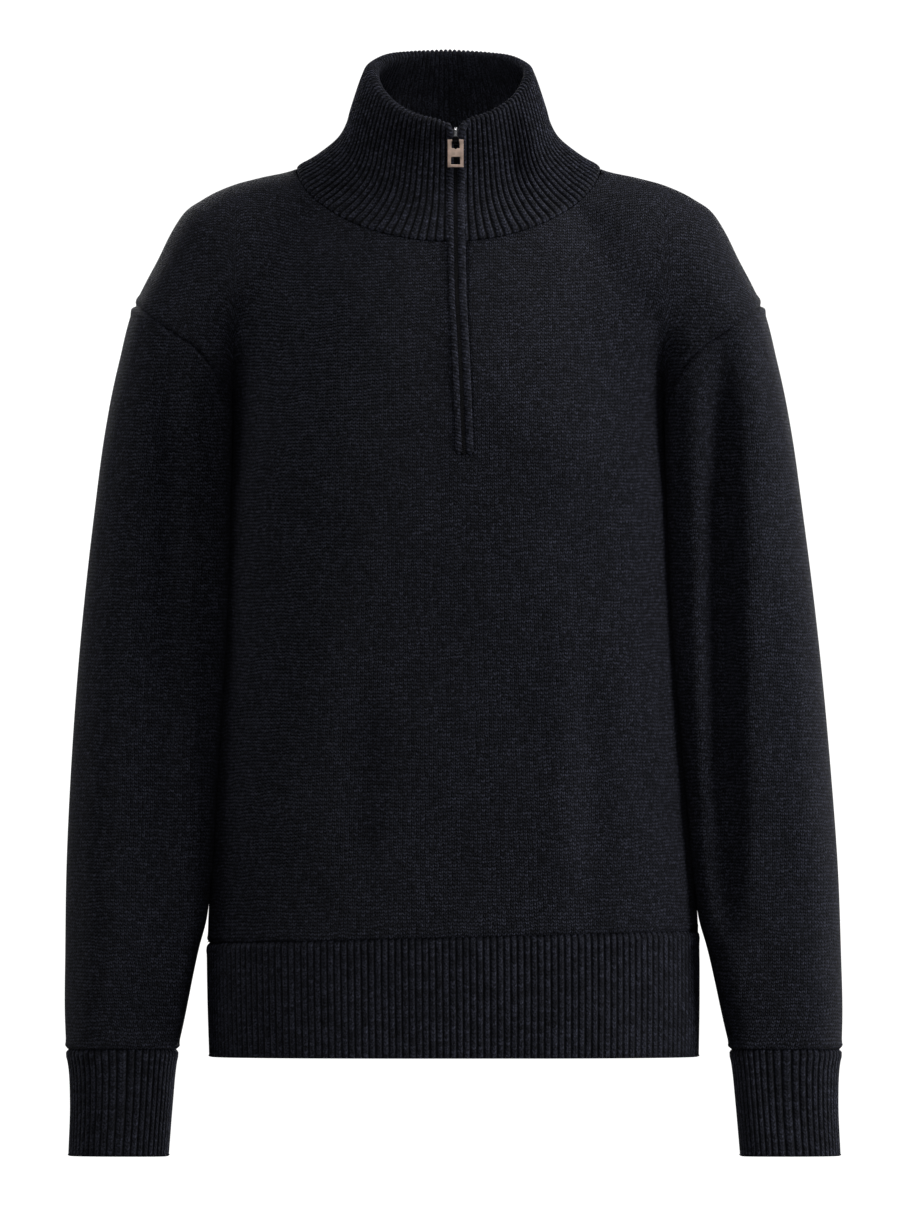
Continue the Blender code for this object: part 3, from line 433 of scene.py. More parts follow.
def cloth_object(
    name, points, stitches, material, ring=False, kept=None, closed=False, thickness=0.0, clear=None
):
    """A grid of points in millimetres as a smooth mesh with its stitch map.

    ring joins the last column to the first. closed joins the last row to the first, and caps
    the ends of a grid that isn't a ring. clear says how clearly each row's stitches show, from
    0 to 1, where they don't all show alike."""
    rows, columns = points.shape[:2]
    faces, map_places = quads(rows, columns, ring, kept, closed)
    flat = (points[:, :-1] if ring else points).reshape(-1, 3) * MM
    used, faces = np.unique(faces, return_inverse=True)
    faces = faces.reshape(-1, 4).tolist()
    map_places = map_places.ravel()
    if closed and not ring:
        ends = [np.arange(rows) * columns, (np.arange(rows) * columns + columns - 1)[::-1]]
        faces += [end.tolist() for end in ends]
        map_places = joined(map_places, *ends)
    mesh = bpy.data.meshes.new(name)
    mesh.from_pydata(flat[used].tolist(), [], faces)
    layer = mesh.uv_layers.new(name="stitch")
    layer.data.foreach_set("uv", stitches.reshape(-1, 2)[map_places].astype(np.float32).ravel())
    mesh.materials.append(material)
    mesh.shade_smooth()
    made = add_object(name, mesh)
    if clear is not None:
        shown = np.broadcast_to(clear[:, None], (rows, columns - ring)).ravel()[used]
        layer = mesh.attributes.new("clear", "FLOAT", "POINT")
        layer.data.foreach_set("value", shown.astype(np.float32))
    if thickness:
        wall = made.modifiers.new("wall", "SOLIDIFY")
        wall.thickness = thickness * MM
        wall.offset = -1
    return made


# Relief beside a seam: the dip and its width, the ridge, its distance from the seam and its width.
ARMHOLE_RELIEF = (1.9, 1.5, 0.8, 5.0, 2.5)
HEM_RELIEF = (0.9, 1.2, 0.5, 3.2, 1.6)
HEAD_RELIEF = (1.5, 1.2, 1.2, 3.6, 2.4)
FOOT_RELIEF = (0.9, 1.2, 0.8, 3.0, 1.8)
BAND_RELIEF = (1.6, 1.8, 0.4, 6.0, 3.0)
SIDE_DIP, SIDE_DIP_WIDTH = 0.6, 1.5

# Places of the closer lines of a grid beside a panel's side or an armhole, and beside a band.
SEAM_PLACES = (0.0, 0.6, 1.3, 2.1, 3.2, 4.8)
HEM_PLACES = (0.0, 0.9, 1.9, 3.1, 4.8)


def seam_relief(distance, dip, width, ridge, ridge_at, ridge_width):
    """A dip at a seam with a soft ridge beside it, as an offset along the normal."""
    return ridge * bell(distance - ridge_at, ridge_width) - dip * bell(distance, width)


# ---- body panels

PANEL_STEP = 3.2
SHOULDER_RUN, NECK_RUN = 150.0, 110.0
ARMHOLE_ROWS = 66
LEVEL_ROWS = 6
SLOT_COLUMNS = 5
NET_STEP = 1.5

# The share of the torso's half width that the neck's columns take, the share of a row above the
# pit that the shoulder's take, and how much closer these stand at the side.
NECK_SHARE, SHOULDER_COLUMNS = 0.66, 9 / 16
SIDE_CROWDING = 1.3


def panel_places(side, face):
    """Front-view places of one half panel: rows from the hem up, and columns from the side in."""
    w = places_with_edges(SHOULDER_RUN, PANEL_STEP, SEAM_PLACES) / SHOULDER_RUN
    r = np.linspace(0, 1, int(NECK_RUN / PANEL_STEP) + 1)
    outer_shares = np.sin(QUARTER - (QUARTER - math.asin(NECK_SHARE)) * w**SIDE_CROWDING)

    def level_row(at):
        """A row tilted with the hem seam at the hem, and level from the zip's foot up."""
        half = TORSO("half", at)
        inner = half * NECK_SHARE * (1 - r) + panel_edge(side, at, face) * r
        xs = joined(half * outer_shares, inner[1:])
        tilt = HEM_SEAM_TILT * np.clip((ZIP_FOOT_Z - at) / (ZIP_FOOT_Z - HEM_SEAM_Z), 0, 1)
        return together(xs, at + tilt * side * xs)

    lower = HEM_SEAM_Z + places_with_edges(ZIP_FOOT_Z - HEM_SEAM_Z, PANEL_STEP, HEM_PLACES)
    levels = joined(lower, np.linspace(ZIP_FOOT_Z, PIT_Z, LEVEL_ROWS)[1:])
    rows = [level_row(at) for at in levels]

    # Above the pit the rows fill the patch between that row, the armhole, the top and the zip.
    neck_turn = math.asin(panel_edge(side, neckline_z(0.0, face), face) / NECK_HALF)
    neck_xs = NECK_HALF * np.sin(QUARTER + (neck_turn - QUARTER) * r)
    neck = together(neck_xs, neckline_z(neck_xs, face))
    bottom, top = rows[-1], joined(shoulder_line(w), neck[1:])
    turns = np.linspace(0, math.pi, ARMHOLE_ROWS + 1)
    heights = armhole_z(turns)
    outside = together(arm_place(turns, heights, 1), heights)
    outside[0], outside[-1] = bottom[0], top[0]
    heights = PIT_Z + (top[-1, 1] - PIT_Z) * np.sin(turns / 2)
    inside = together(panel_edge(side, heights, face), heights)
    inside[-1] = top[-1]
    across = joined(w * SHOULDER_COLUMNS, 1 - (1 - SHOULDER_COLUMNS) * (1 - r[1:]))
    across = across[:, None]
    for row in range(1, ARMHOLE_ROWS + 1):
        up = math.sin(turns[row] / 2)
        corners = (1 - up) * ((1 - across) * bottom[0] + across * bottom[-1])
        corners += up * ((1 - across) * top[0] + across * top[-1])
        sides = (1 - across) * outside[row] + across * inside[row]
        rows.append((1 - up) * bottom + up * top + sides - corners)
    places = np.array(rows)
    places[..., 0] *= side
    return places, len(lower) - 1, len(levels) - 1


def stitch_net(face):
    """Lengths along the cloth on a net of the front view: out from x = 0, and up from the pit."""
    xs = np.arange(0.0, SHOULDER_END + 2 * NET_STEP, NET_STEP)
    levels = np.arange(PIT_Z, SHOULDER.rows[0, 1] + 2 * NET_STEP, NET_STEP)
    points = surface(xs, levels[:, None], face)
    return arc(points, 1), arc(points, 0)


def net_value(net, x, z):
    """What a net holds at places of the front view, between its four nearest places."""
    column = np.clip(np.abs(x) / NET_STEP, 0, net.shape[1] - 1.01)
    row = np.clip((z - PIT_Z) / NET_STEP, 0, net.shape[0] - 1.01)
    left, low = column.astype(int), row.astype(int)
    aside, above = column - left, row - low
    lower, upper = (
        net[at, left] * (1 - aside) + net[at, left + 1] * aside for at in (low, low + 1)
    )
    return lower * (1 - above) + upper * above


def panel_stitches(places, face, pit_row, run, up):
    """The stitch map: wales follow the columns below the armhole, and level lines above it."""
    x, z = places[..., 0], places[..., 1]
    order = np.argsort(x[pit_row])
    pit_x, pit_run, pit_up = x[pit_row][order], run[pit_row][order], up[pit_row][order]
    wales = np.tile(run[pit_row] - np.interp(0.0, pit_x, pit_run), (len(places), 1))
    courses = up.copy()
    outward, upward = stitch_net(face)
    turned = 1 if face == "front" else -1
    x, z = x[pit_row:], z[pit_row:]
    wales[pit_row:] = turned * np.sign(x) * net_value(outward, x, z)
    courses[pit_row:] = np.interp(x, pit_x, pit_up) + net_value(upward, x, z)
    return together(wales / WALE, courses / COURSE)


def body_panel(name, face, material):
    """The front is open above the zip's foot, and the back is whole."""
    right, foot_row, pit_row = panel_places(-1, face)
    left = panel_places(1, face)[0][:, ::-1]
    if face == "front":
        shares = np.linspace(0, 1, SLOT_COLUMNS + 1)[1:-1, None]
        between = right[:, -1:] * (1 - shares) + left[:, :1] * shares
        places = joined(right, between, left, axis=1)
    else:
        places = joined(right, left[:, 1:], axis=1)
    x, z = places[..., 0], places[..., 1]
    lower = surface(x[:pit_row], z[:pit_row], face, arm=False)
    points = joined(lower, surface(x[pit_row:], z[pit_row:], face))
    for column in (0, -1):
        points[: pit_row + 1, column, 1] = TORSO("mid", z[: pit_row + 1, column])
    kept = np.ones((points.shape[0] - 1, points.shape[1] - 1), bool)
    if face == "front":
        slot = right.shape[1] - 1
        kept[foot_row:, slot : slot + SLOT_COLUMNS] = False
    else:
        points, places = points[:, ::-1], places[:, ::-1]

    run, up = arc(points, 1), arc(points, 0)
    from_edge = np.minimum(run, run[:, -1:] - run)
    relief = seam_relief(up, *HEM_RELIEF)
    relief[pit_row:] += seam_relief(from_edge[pit_row:], *ARMHOLE_RELIEF)
    relief[:pit_row] -= SIDE_DIP * bell(from_edge[:pit_row], SIDE_DIP_WIDTH)
    points = sway(points + grid_normals(points) * relief[..., None])
    stitches = panel_stitches(places, face, pit_row, run, up)
    return cloth_object(name, points, stitches, material, kept=kept, thickness=CLOTH)


# ---- sleeves

SLEEVE_COLUMNS = 112
SLEEVE_STEP = 3.1

# A sleeve's head goes on under the panels and sinks, and below the armhole it leaves the torso's
# shape between these two distances.
SLEEVE_TUCK, TUCK_DEPTH = 2.5, 1.8
TORSO_FADE = (2.0, 30.0)


def on_middle_line(turns):
    return np.isclose(np.sin(turns), 0, atol=1e-6)


def arm_ring(turns, z, side, torso=0.0):
    """Points of the arm for turns round it: the front first, then the back."""
    turns, z, torso = np.broadcast_arrays(turns, z, torso)
    x = arm_place(np.where(turns > math.pi, TURN - turns, turns), z, side)
    front, back = (surface(x, z, face, torso=torso) for face in ("front", "back"))
    points = np.where((turns <= math.pi)[..., None], front, back)
    edge = on_middle_line(turns)
    points[edge, 1] = ARM("mid", z[edge])
    return points


def level_arcs(turns, z, side):
    """How far round the arm from its outer line each place lies, measured on level rings."""
    levels = np.linspace(CUFF_SEAM_Z, TIP_Z, 60)
    run = arc(arm_ring(turns, levels[:, None], side), 1)
    outer = np.argmin(np.abs(turns - math.pi))
    run = run - run[:, outer : outer + 1]
    return together(*(np.interp(at, levels, line) for at, line in zip(z.T, run.T)))


def sleeve(name, side, material):
    """A tube from the slanting armhole to the level cuff seam, with a rounded edge at both."""
    turns = np.linspace(0, TURN, SLEEVE_COLUMNS + 1)
    top = armhole_z(turns)
    length = TIP_Z - CUFF_SEAM_Z
    run = places_with_edges(length, SLEEVE_STEP, SEAM_PLACES, HEM_PLACES)[::-1]
    run = np.append(run, -SLEEVE_TUCK)[:, None]
    z = top + (CUFF_SEAM_Z - top) * (run / length)
    points = arm_ring(turns, z, side, 1 - smooth_step(top - z, *TORSO_FADE))
    wales = level_arcs(turns, z, side)
    if side < 0:
        points, z, wales = points[:, ::-1], z[:, ::-1], -wales[:, ::-1]
    relief = seam_relief(run, *HEAD_RELIEF) + seam_relief(length - run, *FOOT_RELIEF)
    relief = relief - TUCK_DEPTH * smooth_step(-run, 0.0, SLEEVE_TUCK)
    points = sway(points + grid_normals(points, ring=True) * relief[..., None])
    stitches = together(wales / WALE, (z - CUFF_SEAM_Z) / COURSE)
    return cloth_object(name, points, stitches, material, ring=True, thickness=CLOTH)


# ---- ribbed bands: cuffs and hem

# How clearly the ribs show inside a band and on the outside of the hem and the cuffs, against
# the collar's outside.
INSIDE_CLEAR, BAND_CLEAR = 0.35, 0.65

# A band's height, the share of it that its rounded edge takes, the turns round that edge where
# the ribs grow, how much flatter they are at its seam and within what distance, and its rows:
# inside, round the edge, outside.
BAND_HEIGHT = 90.0
EDGE_SHARE, EDGE_GROWTH = 0.03, (0.6, 2.6)
SEAM_FLATNESS, SEAM_REACH = 0.45, 2.0
CUFF_ROWS, HEM_ROWS = (10, 6, 26), (12, 6, 30)


def rib_height(place):
    """The rise of a one-by-one rib, from 0 in the furrow to 1 on the ridge, for a place in ribs."""
    return np.abs(np.cos(np.pi * place)) ** RIB_POWER


def ribbed_band(name, material, wall, ends, row_counts, ring=False, flip=False):
    """Rows up the inside, round the lower edge and up the outside of a band. wall gives points
    and normals at a height, and ends are the heights of the lower edge and of the seam."""
    inner_rows, round_rows, outer_rows = row_counts
    radius = BAND_WALL / 2

    def height_of(share):
        return ends[0] + (ends[1] - ends[0]) * share

    grid, along = [], []
    for z in height_of(np.linspace(1, EDGE_SHARE, inner_rows)):
        base, out = wall(z)
        grid.append(base - out * BAND_WALL)
        along.append(-z)
    ribs_at = np.arange(len(base)) / COLUMNS_PER_RIB
    ridge = rib_height(ribs_at)[:, None] * BAND_RIB_DEPTH
    middle = base - out * radius
    for angle in np.linspace(0, math.pi, round_rows + 2)[1:-1]:
        rise = ridge * smooth_step(angle, *EDGE_GROWTH)
        place = middle + out * (rise - math.cos(angle) * radius)
        place[:, 2] -= radius * math.sin(angle)
        grid.append(place)
        along.append(radius * angle - z)
    seam_places = np.array(HEM_PLACES[:-1]) / BAND_HEIGHT
    for share in places_with_edges(1 - EDGE_SHARE, 1 / outer_rows, end=seam_places) + EDGE_SHARE:
        z, from_seam = height_of(share), (1 - share) * BAND_HEIGHT
        base, out = wall(z)
        rise = ridge * (1 - SEAM_FLATNESS * bell(from_seam, SEAM_REACH)) - BAND_RIB_DEPTH / 2
        grid.append(base + out * (rise + seam_relief(from_seam, *BAND_RELIEF)))
        along.append(z + 2 * radius)
    points, along = sway(grid), np.array(along)
    if flip:
        points = points[:, ::-1]
    stitches = together(ribs_at, along[:, None] / RIB_COURSE)
    clear = np.where(np.arange(len(points)) < inner_rows, INSIDE_CLEAR, BAND_CLEAR)
    return cloth_object(name, points, stitches, material, ring=ring, closed=True, clear=clear)


def cuff(name, side, material):
    turns = np.linspace(0, TURN, CUFF_RIBS * COLUMNS_PER_RIB + 1)

    def wall(z):
        ring = arm_ring(turns, z, side)
        wide = joined(ring[-2:-1], ring, ring[1:2])
        return ring, unit(np.cross((wide[2:] - wide[:-2]) * side, (0, 0, 1)))

    ends = CUFF_Z, CUFF_SEAM_Z
    return ribbed_band(name, material, wall, ends, CUFF_ROWS, ring=True, flip=side < 0)


def hem_points(turns, z, face):
    """Points round half the hem from the wearer's right, at a height given at its middle."""
    x = -TORSO("half", z) * np.cos(turns)
    heights = z + HEM_SEAM_TILT * x * smooth_step(z, HEM_Z, HEM_SEAM_Z)
    points = surface(x, heights, face, arm=False)
    edge = on_middle_line(turns)
    points[edge, 1] = TORSO("mid", heights[edge])
    return points


def even_turns(count, face):
    """Turns that space the hem's ribs evenly round the cloth."""
    turns = np.linspace(0, math.pi, 3000)
    run = arc(hem_points(turns, (HEM_Z + HEM_SEAM_Z) / 2, face), 0)
    return np.interp(np.linspace(0, run[-1], count), run, turns)


def hem_rib(name, face, material):
    turns = even_turns(HEM_RIBS * COLUMNS_PER_RIB + 1, face)
    sign = 1 if face == "front" else -1

    def wall(z):
        points = hem_points(turns, z, face)
        out = unit(np.cross(np.gradient(points, axis=0) * (sign, sign, 0), (0, 0, 1)))
        out[0], out[-1] = (-1, 0, 0), (1, 0, 0)
        return points, out

    ends = HEM_Z, HEM_SEAM_Z
    return ribbed_band(name, material, wall, ends, HEM_ROWS, flip=face == "back")


# ---- collar

# How far the front sinks in under the rim, and where that begins on the wearer's right and ends
# on the left, in degrees round from the front.
WAIST, WAIST_POWER = 17.0, 1.25
WAIST_RIGHT, WAIST_LEFT = (-78.0, -25.0), (38.0, 60.0)

# The foot stands proud of the panels with a dip at its very seam, each with its width. The ribs
# grow there from a share of their depth, over a height.
FOOT_PROUD, FOOT_DIP = (1.3, 9.0), (2.6, 0.9)
FOOT_RIB, RIB_GROWTH = 0.25, 7.0

# The wall thickens to the rim from a share of the height up, and more where the rim is rolled.
COLLAR_WALL, RIM_WALL, ROLLED_WALL = 3.2, 6.6, 4.2
THICKENING, ROLL_POWER = 0.55, 1.5

# The closer rows at the foot, the even ones from there to the rim, and the turns over the rim
# where the ribs flatten to the inside.
FOOT_SHARES = (0, 0.008, 0.018, 0.032, 0.05)
EVEN_FROM, RIM_SHARE = 0.075, 0.955
OUTER_ROWS, RIM_ROWS = 34, 10
RIM_FLATTENING = (1.4, math.pi)
NOTCH_DEPTH, NOTCH_HALF = 4.0, 9.0
SHOULDER_REACH = math.radians(35.0)


def neckline_point(turn):
    """The collar's foot on the panels, at a turn from the front round by the wearer's left."""
    x = NECK_HALF * np.sin(turn)
    front = np.cos(turn) > 0
    z = np.where(front, neckline_z(x, "front"), neckline_z(x, "back"))
    return np.where(front[..., None], surface(x, z, "front"), surface(x, z, "back"))


def neck_base(turn):
    """The collar's foot, with its points spread evenly where it crosses a shoulder."""
    base = neckline_point(turn)
    for shoulder in (QUARTER, 3 * QUARTER):
        near = np.linspace(shoulder - SHOULDER_REACH, shoulder + SHOULDER_REACH, 241)
        path = neckline_point(near)
        along = arc(path, 0)
        at = np.interp(turn, near, np.linspace(0, along[-1], len(near)))
        crossing = np.abs(turn - shoulder) < SHOULDER_REACH
        base = np.where(crossing[..., None], resample(path, along, at), base)
    return base


def rim_points(turn):
    depth_half = (RIM_BACK_Y - RIM_FRONT_Y) / 2
    middle = (RIM_BACK_Y + RIM_FRONT_Y) / 2
    degrees = np.degrees(np.abs(np.where(turn > math.pi, TURN - turn, turn)))
    x = RIM_HALF * np.sin(turn)
    notch = bell(x - ZIP_LINE("x", RIM_FRONT_Z), NOTCH_HALF) * (np.cos(turn) > 0)
    height = RIM("z", degrees) + NOTCH_DEPTH * (np.clip(np.cos(turn), 0, 1) ** 2 - notch)
    return together(x, middle - depth_half * np.cos(turn), height)


def collar_points(turn, share, waist=WAIST):
    """The collar's smooth outside at a turn round the neck and a share of its height."""
    base, rim = neck_base(turn), rim_points(turn)
    points = rim + (base - rim) * FLARE("left", share)[..., None]
    points[..., 2] = base[..., 2] + (rim[..., 2] - base[..., 2]) * share
    degrees = np.degrees(np.where(turn > math.pi, turn - TURN, turn))
    front = smooth_step(degrees, *WAIST_RIGHT) * (1 - smooth_step(degrees, *WAIST_LEFT))
    points[..., 1] += waist * front * np.sin(np.pi * np.clip(share, 0, 1) ** WAIST_POWER) ** 2
    return points


def turn_at_zip(share, aside):
    """The turn a distance aside from the zip's line, at a share of the collar's height."""
    reach = RIM_HALF + (NECK_HALF - RIM_HALF) * FLARE("left", share)
    height = neckline_z(0.0, "front") * (1 - share) + RIM("z", 0.0) * share
    return np.arcsin((ZIP_LINE("x", height) + aside) / reach)


def collar(name, material):
    """One ribbed wall with a foot that stands proud of the panels and a thick rounded rim."""
    columns = COLLAR_RIBS * COLUMNS_PER_RIB + 1
    ribs_at = np.arange(columns) / COLUMNS_PER_RIB
    ridge = rib_height(ribs_at)[:, None]
    shares = joined(FOOT_SHARES, np.linspace(EVEN_FROM, RIM_SHARE, OUTER_ROWS))
    start = turn_at_zip(shares, ZIP_MARGINS[1])[:, None]
    end = TURN + turn_at_zip(shares, -ZIP_MARGINS[-1])[:, None]
    turns = start + (end - start) * np.linspace(0, 1, columns)
    smooth = collar_points(turns, np.broadcast_to(shares[:, None], turns.shape))
    out = grid_normals(smooth)
    height = arc(smooth, 0)

    grown = smooth_step(height, 0.0, RIB_GROWTH)[..., None] * (1 - FOOT_RIB) + FOOT_RIB
    (proud, proud_width), (dip, dip_width) = FOOT_PROUD, FOOT_DIP
    foot = proud * bell(height, proud_width) - dip * bell(height, dip_width)
    outer = smooth + out * (ridge * grown * RIB_DEPTH - RIB_DEPTH / 2 + foot[..., None])
    rim_wall = RIM_WALL + ROLLED_WALL * np.clip(-np.sin(turns[-1]), 0, 1) ** ROLL_POWER
    thick = smooth_step(shares, THICKENING, RIM_SHARE)[:, None]
    wall = COLLAR_WALL + (rim_wall - COLLAR_WALL) * thick
    inner = smooth - out * (wall[..., None] + (ridge - 0.5) * RIB_DEPTH * INSIDE_CLEAR)

    radius = rim_wall[:, None] / 2
    up = unit(smooth[-1] - smooth[-2])
    middle = smooth[-1] - out[-1] * radius
    angles = np.linspace(0, math.pi, RIM_ROWS + 2)[1:-1]
    over = 1 - (1 - INSIDE_CLEAR) * smooth_step(angles, *RIM_FLATTENING)
    rounding = []
    for angle, clear in zip(angles, over):
        way = out[-1] * math.cos(angle) + up * math.sin(angle)
        rounding.append(middle + way * (radius + (ridge - 0.5) * RIB_DEPTH * clear))
    points = joined(outer, np.array(rounding), inner[::-1])
    run = arc(points, 0)
    stitches = together(ribs_at, run / RIB_COURSE)
    clear = joined(np.ones(len(outer)), over, np.full(len(inner), INSIDE_CLEAR))
    return cloth_object(name, points, stitches, material, closed=True, clear=clear)


# ---- zip

SPINE_STEP, SPINE_EASE = 0.65, 3.0
STRIP_INSIDE = 12.0

# A strip's rise before the cloth and behind it, its stitches' height, length and slant, how far
# the two strips part at the rim and within what reach, and the end where a strip sinks away.
STRIP_PROUD, STRIP_BACK = 1.9, -1.2
CORD_HEIGHT, CORD_PITCH, CORD_SLANT = 0.22, 2.7, 6.5
PARTING, PARTING_REACH = 2.2, 5.0
STRIP_END = 2.5

# The coil starts below the rim, and the tape lies behind it.
COIL_START, COIL_HALF, COIL_DEPTH, COIL_PITCH = 9.0, 2.4, -1.5, 1.5
COIL_WALL, LOOP_HEIGHT = 1.4, 0.55
TAPE_HALF, TAPE_BACK, TAPE_FRONT = 5.8, -4.0, -3.0


def zip_spine(inside=False):
    """Places down the zip with the way out of the cloth, from inside the rim to the zip's foot."""
    shares = np.linspace(RIM_SHARE, 0, 60)[:-1]
    front = collar_points(turn_at_zip(shares, 0.0), shares)
    heights = np.linspace(neckline_z(0.0, "front"), ZIP_FOOT_Z, 90)
    path = joined(front, surface(ZIP_LINE("x", heights), heights, "front"))
    run = arc(path, 0)
    path = resample(path, run, np.arange(0, run[-1], SPINE_STEP))
    reach = int(2 * SPINE_EASE / SPINE_STEP)
    weights = bell(np.arange(-reach, reach + 1) * SPINE_STEP, SPINE_EASE)
    before, after = 2 * path[0] - path[reach:0:-1], 2 * path[-1] - path[-2 : -reach - 2 : -1]
    padded = joined(before, path, after)
    smoothed = [np.convolve(line, weights / weights.sum(), "valid") for line in padded.T]
    path = together(*smoothed)
    down = np.gradient(path, axis=0)
    out = unit(together(0.0, down[:, 2], -down[:, 1]))
    if not inside:
        return path, out
    radius = RIM_WALL / 2
    middle = path[0] - out[0] * radius
    up = -unit(down[0])
    angles = np.linspace(math.pi, 0, 14)[:-1, None]
    ways = out[0] * np.cos(angles) + up * np.sin(angles)
    depths = np.arange(STRIP_INSIDE, 0, -SPINE_STEP * 2)[:, None]
    within = (middle - out[0] * radius) - up * depths
    ways_within = np.broadcast_to(-out[0], within.shape)
    path = joined(within, middle + ways * radius, path)
    return path, joined(ways_within, ways, out)


def swept(name, path, out, section, material, stitch_length):
    """A closed bar along a path, with places across and out of the cloth for each station."""
    points = path[:, None] + np.array([1.0, 0.0, 0.0]) * section[..., :1]
    points = points + out[:, None] * section[..., 1:]
    points = joined(points, points[:, :1], axis=1)
    closing = points.mean(axis=1, keepdims=True) * np.ones((1, points.shape[1], 1))
    points = joined(closing[:1], points, closing[-1:])
    run = arc(path, 0)
    run = joined(run[:1], run, run[-1:])
    places = np.arange(points.shape[1]) / (points.shape[1] - 1)
    stitches = together(places, run[:, None] / stitch_length)
    return cloth_object(name, points[::-1], stitches[::-1], material, ring=True)


def placket_strip(name, side, material):
    """A rolled edge of garter knit, which goes over the rim and parts there."""
    path, out = zip_spine(inside=True)
    run = arc(path, 0)[:, None]
    width = STRIP_WIDTHS[side]
    angles = np.linspace(0, TURN, 17)[:-1] + QUARTER
    aside = width / 2 * signed_power(np.cos(angles), 0.8)
    rise = np.abs(np.sin(angles))
    proud = np.where(np.sin(angles) > 0, STRIP_PROUD * rise**0.9, STRIP_BACK * rise**0.5)
    cord = np.sin(TURN * (run / CORD_PITCH - aside * side / CORD_SLANT))
    cord = CORD_HEIGHT * cord * np.clip(proud, 0, 1)
    spread = PARTING * bell(run - (STRIP_INSIDE + math.pi * RIM_WALL / 4), PARTING_REACH)
    foot = smooth_step(run[-1] - run, 0.0, STRIP_END)
    centre = side * (STRIP_GAP / 2 + width / 2 + spread)
    section = [centre + aside * (0.55 + 0.45 * foot), proud * (0.3 + 0.7 * foot) + cord]
    return swept(name, path, out, together(*section), material, CORD_PITCH)


def zip_coil(name, material):
    """Two rows of small loops that mesh along the middle of the zip."""
    path, out = zip_spine()
    run = arc(path, 0)
    even = np.arange(COIL_START, run[-1], COIL_PITCH / 6)
    path, out = resample(path, run, even), resample(out, run, even)
    shares = np.array([-1, -0.85, -0.5, -0.12, 0.12, 0.5, 0.85, 1])
    phase = np.where(shares < 0, 0.0, 0.5)
    loops = 0.5 + 0.5 * np.cos(TURN * (even[:, None] / COIL_PITCH + phase))
    loops = LOOP_HEIGHT * loops * np.sqrt(1 - shares**2 * 0.8)
    top = COIL_DEPTH + loops - 0.35 * np.abs(shares) ** 3
    section = np.empty((len(even), 2 * len(shares), 2))
    section[..., 0] = joined(shares[::-1], shares) * COIL_HALF
    section[:, : len(shares), 1] = top[:, ::-1]
    section[:, len(shares) :, 1] = COIL_DEPTH - COIL_WALL
    return swept(name, path, out, section, material, 1.0)


def zip_tape(name, material):
    """The flat tape behind the coil and the strips."""
    path, out = zip_spine()
    front = [(TAPE_HALF, TAPE_FRONT), (-TAPE_HALF, TAPE_FRONT)]
    back = [(-TAPE_HALF, TAPE_BACK), (TAPE_HALF, TAPE_BACK)]
    section = np.broadcast_to(front + back, (len(path), 4, 2))
    return swept(name, path, out, section, material, 1.0)


# ---- slider and pull tab

SLIDER_Z = 36.0
SLIDER_SHARES = np.array([1.0, 0.8])
SLIDER_HALF, SLIDER_TOP = 3.3, 4.6
SLIDER_CORNER, SLIDER_BEVEL = (1.0, 1.5), 0.35
SLIDER_BACK, SLIDER_FACE = -3.6, -1.4
BAIL_HALF, HOOK_HALF = 0.95, 2.5
BAIL_TOP, BAIL_FOOT = 5.6, -6.7
BAIL_BAR, BAIL_REACH, BAIL_ROOT, BAIL_BEND = 1.1, 5.1, -1.5, 1.9
BAIL_NARROWING = (-3.2, -0.6)
TAB_HALF, TAB_TOP, TAB_LENGTH = 5.9, -3.7, 20.6
TAB_BACK, TAB_FACE, TAB_BEVEL = 2.1, 3.6, 0.4
TAB_BAR, TAB_FOOT_BAR = 1.4, 2.1
UPPER_WINDOW, LOWER_WINDOW = (2.95, 5.0), (3.35, 5.6)
NOTCH_WIDE, NOTCH_DEEP = 0.8, 0.7


def slider_frame():
    """Turns places across, out and up from the slider's middle into places in millimetres."""
    top, foot = collar_points(turn_at_zip(SLIDER_SHARES, 0.0), SLIDER_SHARES, waist=0.0)
    up = unit(top - foot)
    middle = top + (foot - top) * (top[2] - SLIDER_Z) / (top[2] - foot[2])
    facing = np.cross(up, (1.0, 0.0, 0.0))
    facing *= -np.sign(facing[1])
    axes = np.array([(1.0, 0.0, 0.0), facing, up])

    def place(spots):
        return middle + spots @ axes

    return place


def plate(name, xs, zs, gone, low, high, place, material, bevel):
    """A flat plate made of the cells between the places xs and zs, without the cells in gone."""
    count = len(zs)
    back = len(xs) * count
    points = [(x, depth, z) for depth in (high, low) for x in xs for z in zs]
    cells = {(i, j) for i in range(len(xs) - 1) for j in range(count - 1)} - gone
    faces = []
    for i, j in sorted(cells):
        first = i * count + j
        ring = [first, first + count, first + count + 1, first + 1]
        faces += [ring, [back + corner for corner in reversed(ring)]]
        for side, beside in enumerate([(i, j - 1), (i + 1, j), (i, j + 1), (i - 1, j)]):
            if beside not in cells:
                start, end = ring[side], ring[(side + 1) % 4]
                faces.append([end, start, back + start, back + end])
    used, numbers = np.unique(faces, return_inverse=True)
    mesh = bpy.data.meshes.new(name)
    spots = place(np.array(points)[used]) * MM
    mesh.from_pydata(spots.tolist(), [], numbers.reshape(-1, 4).tolist())
    mesh.materials.append(material)
    made = add_object(name, mesh)
    rounded = made.modifiers.new("edges", "BEVEL")
    rounded.width = bevel * MM
    rounded.segments = 3
    rounded.limit_method = "ANGLE"
    rounded.angle_limit = math.radians(40)
    mesh.shade_smooth()
    mesh.set_sharp_from_angle(angle=math.radians(50))
    return made


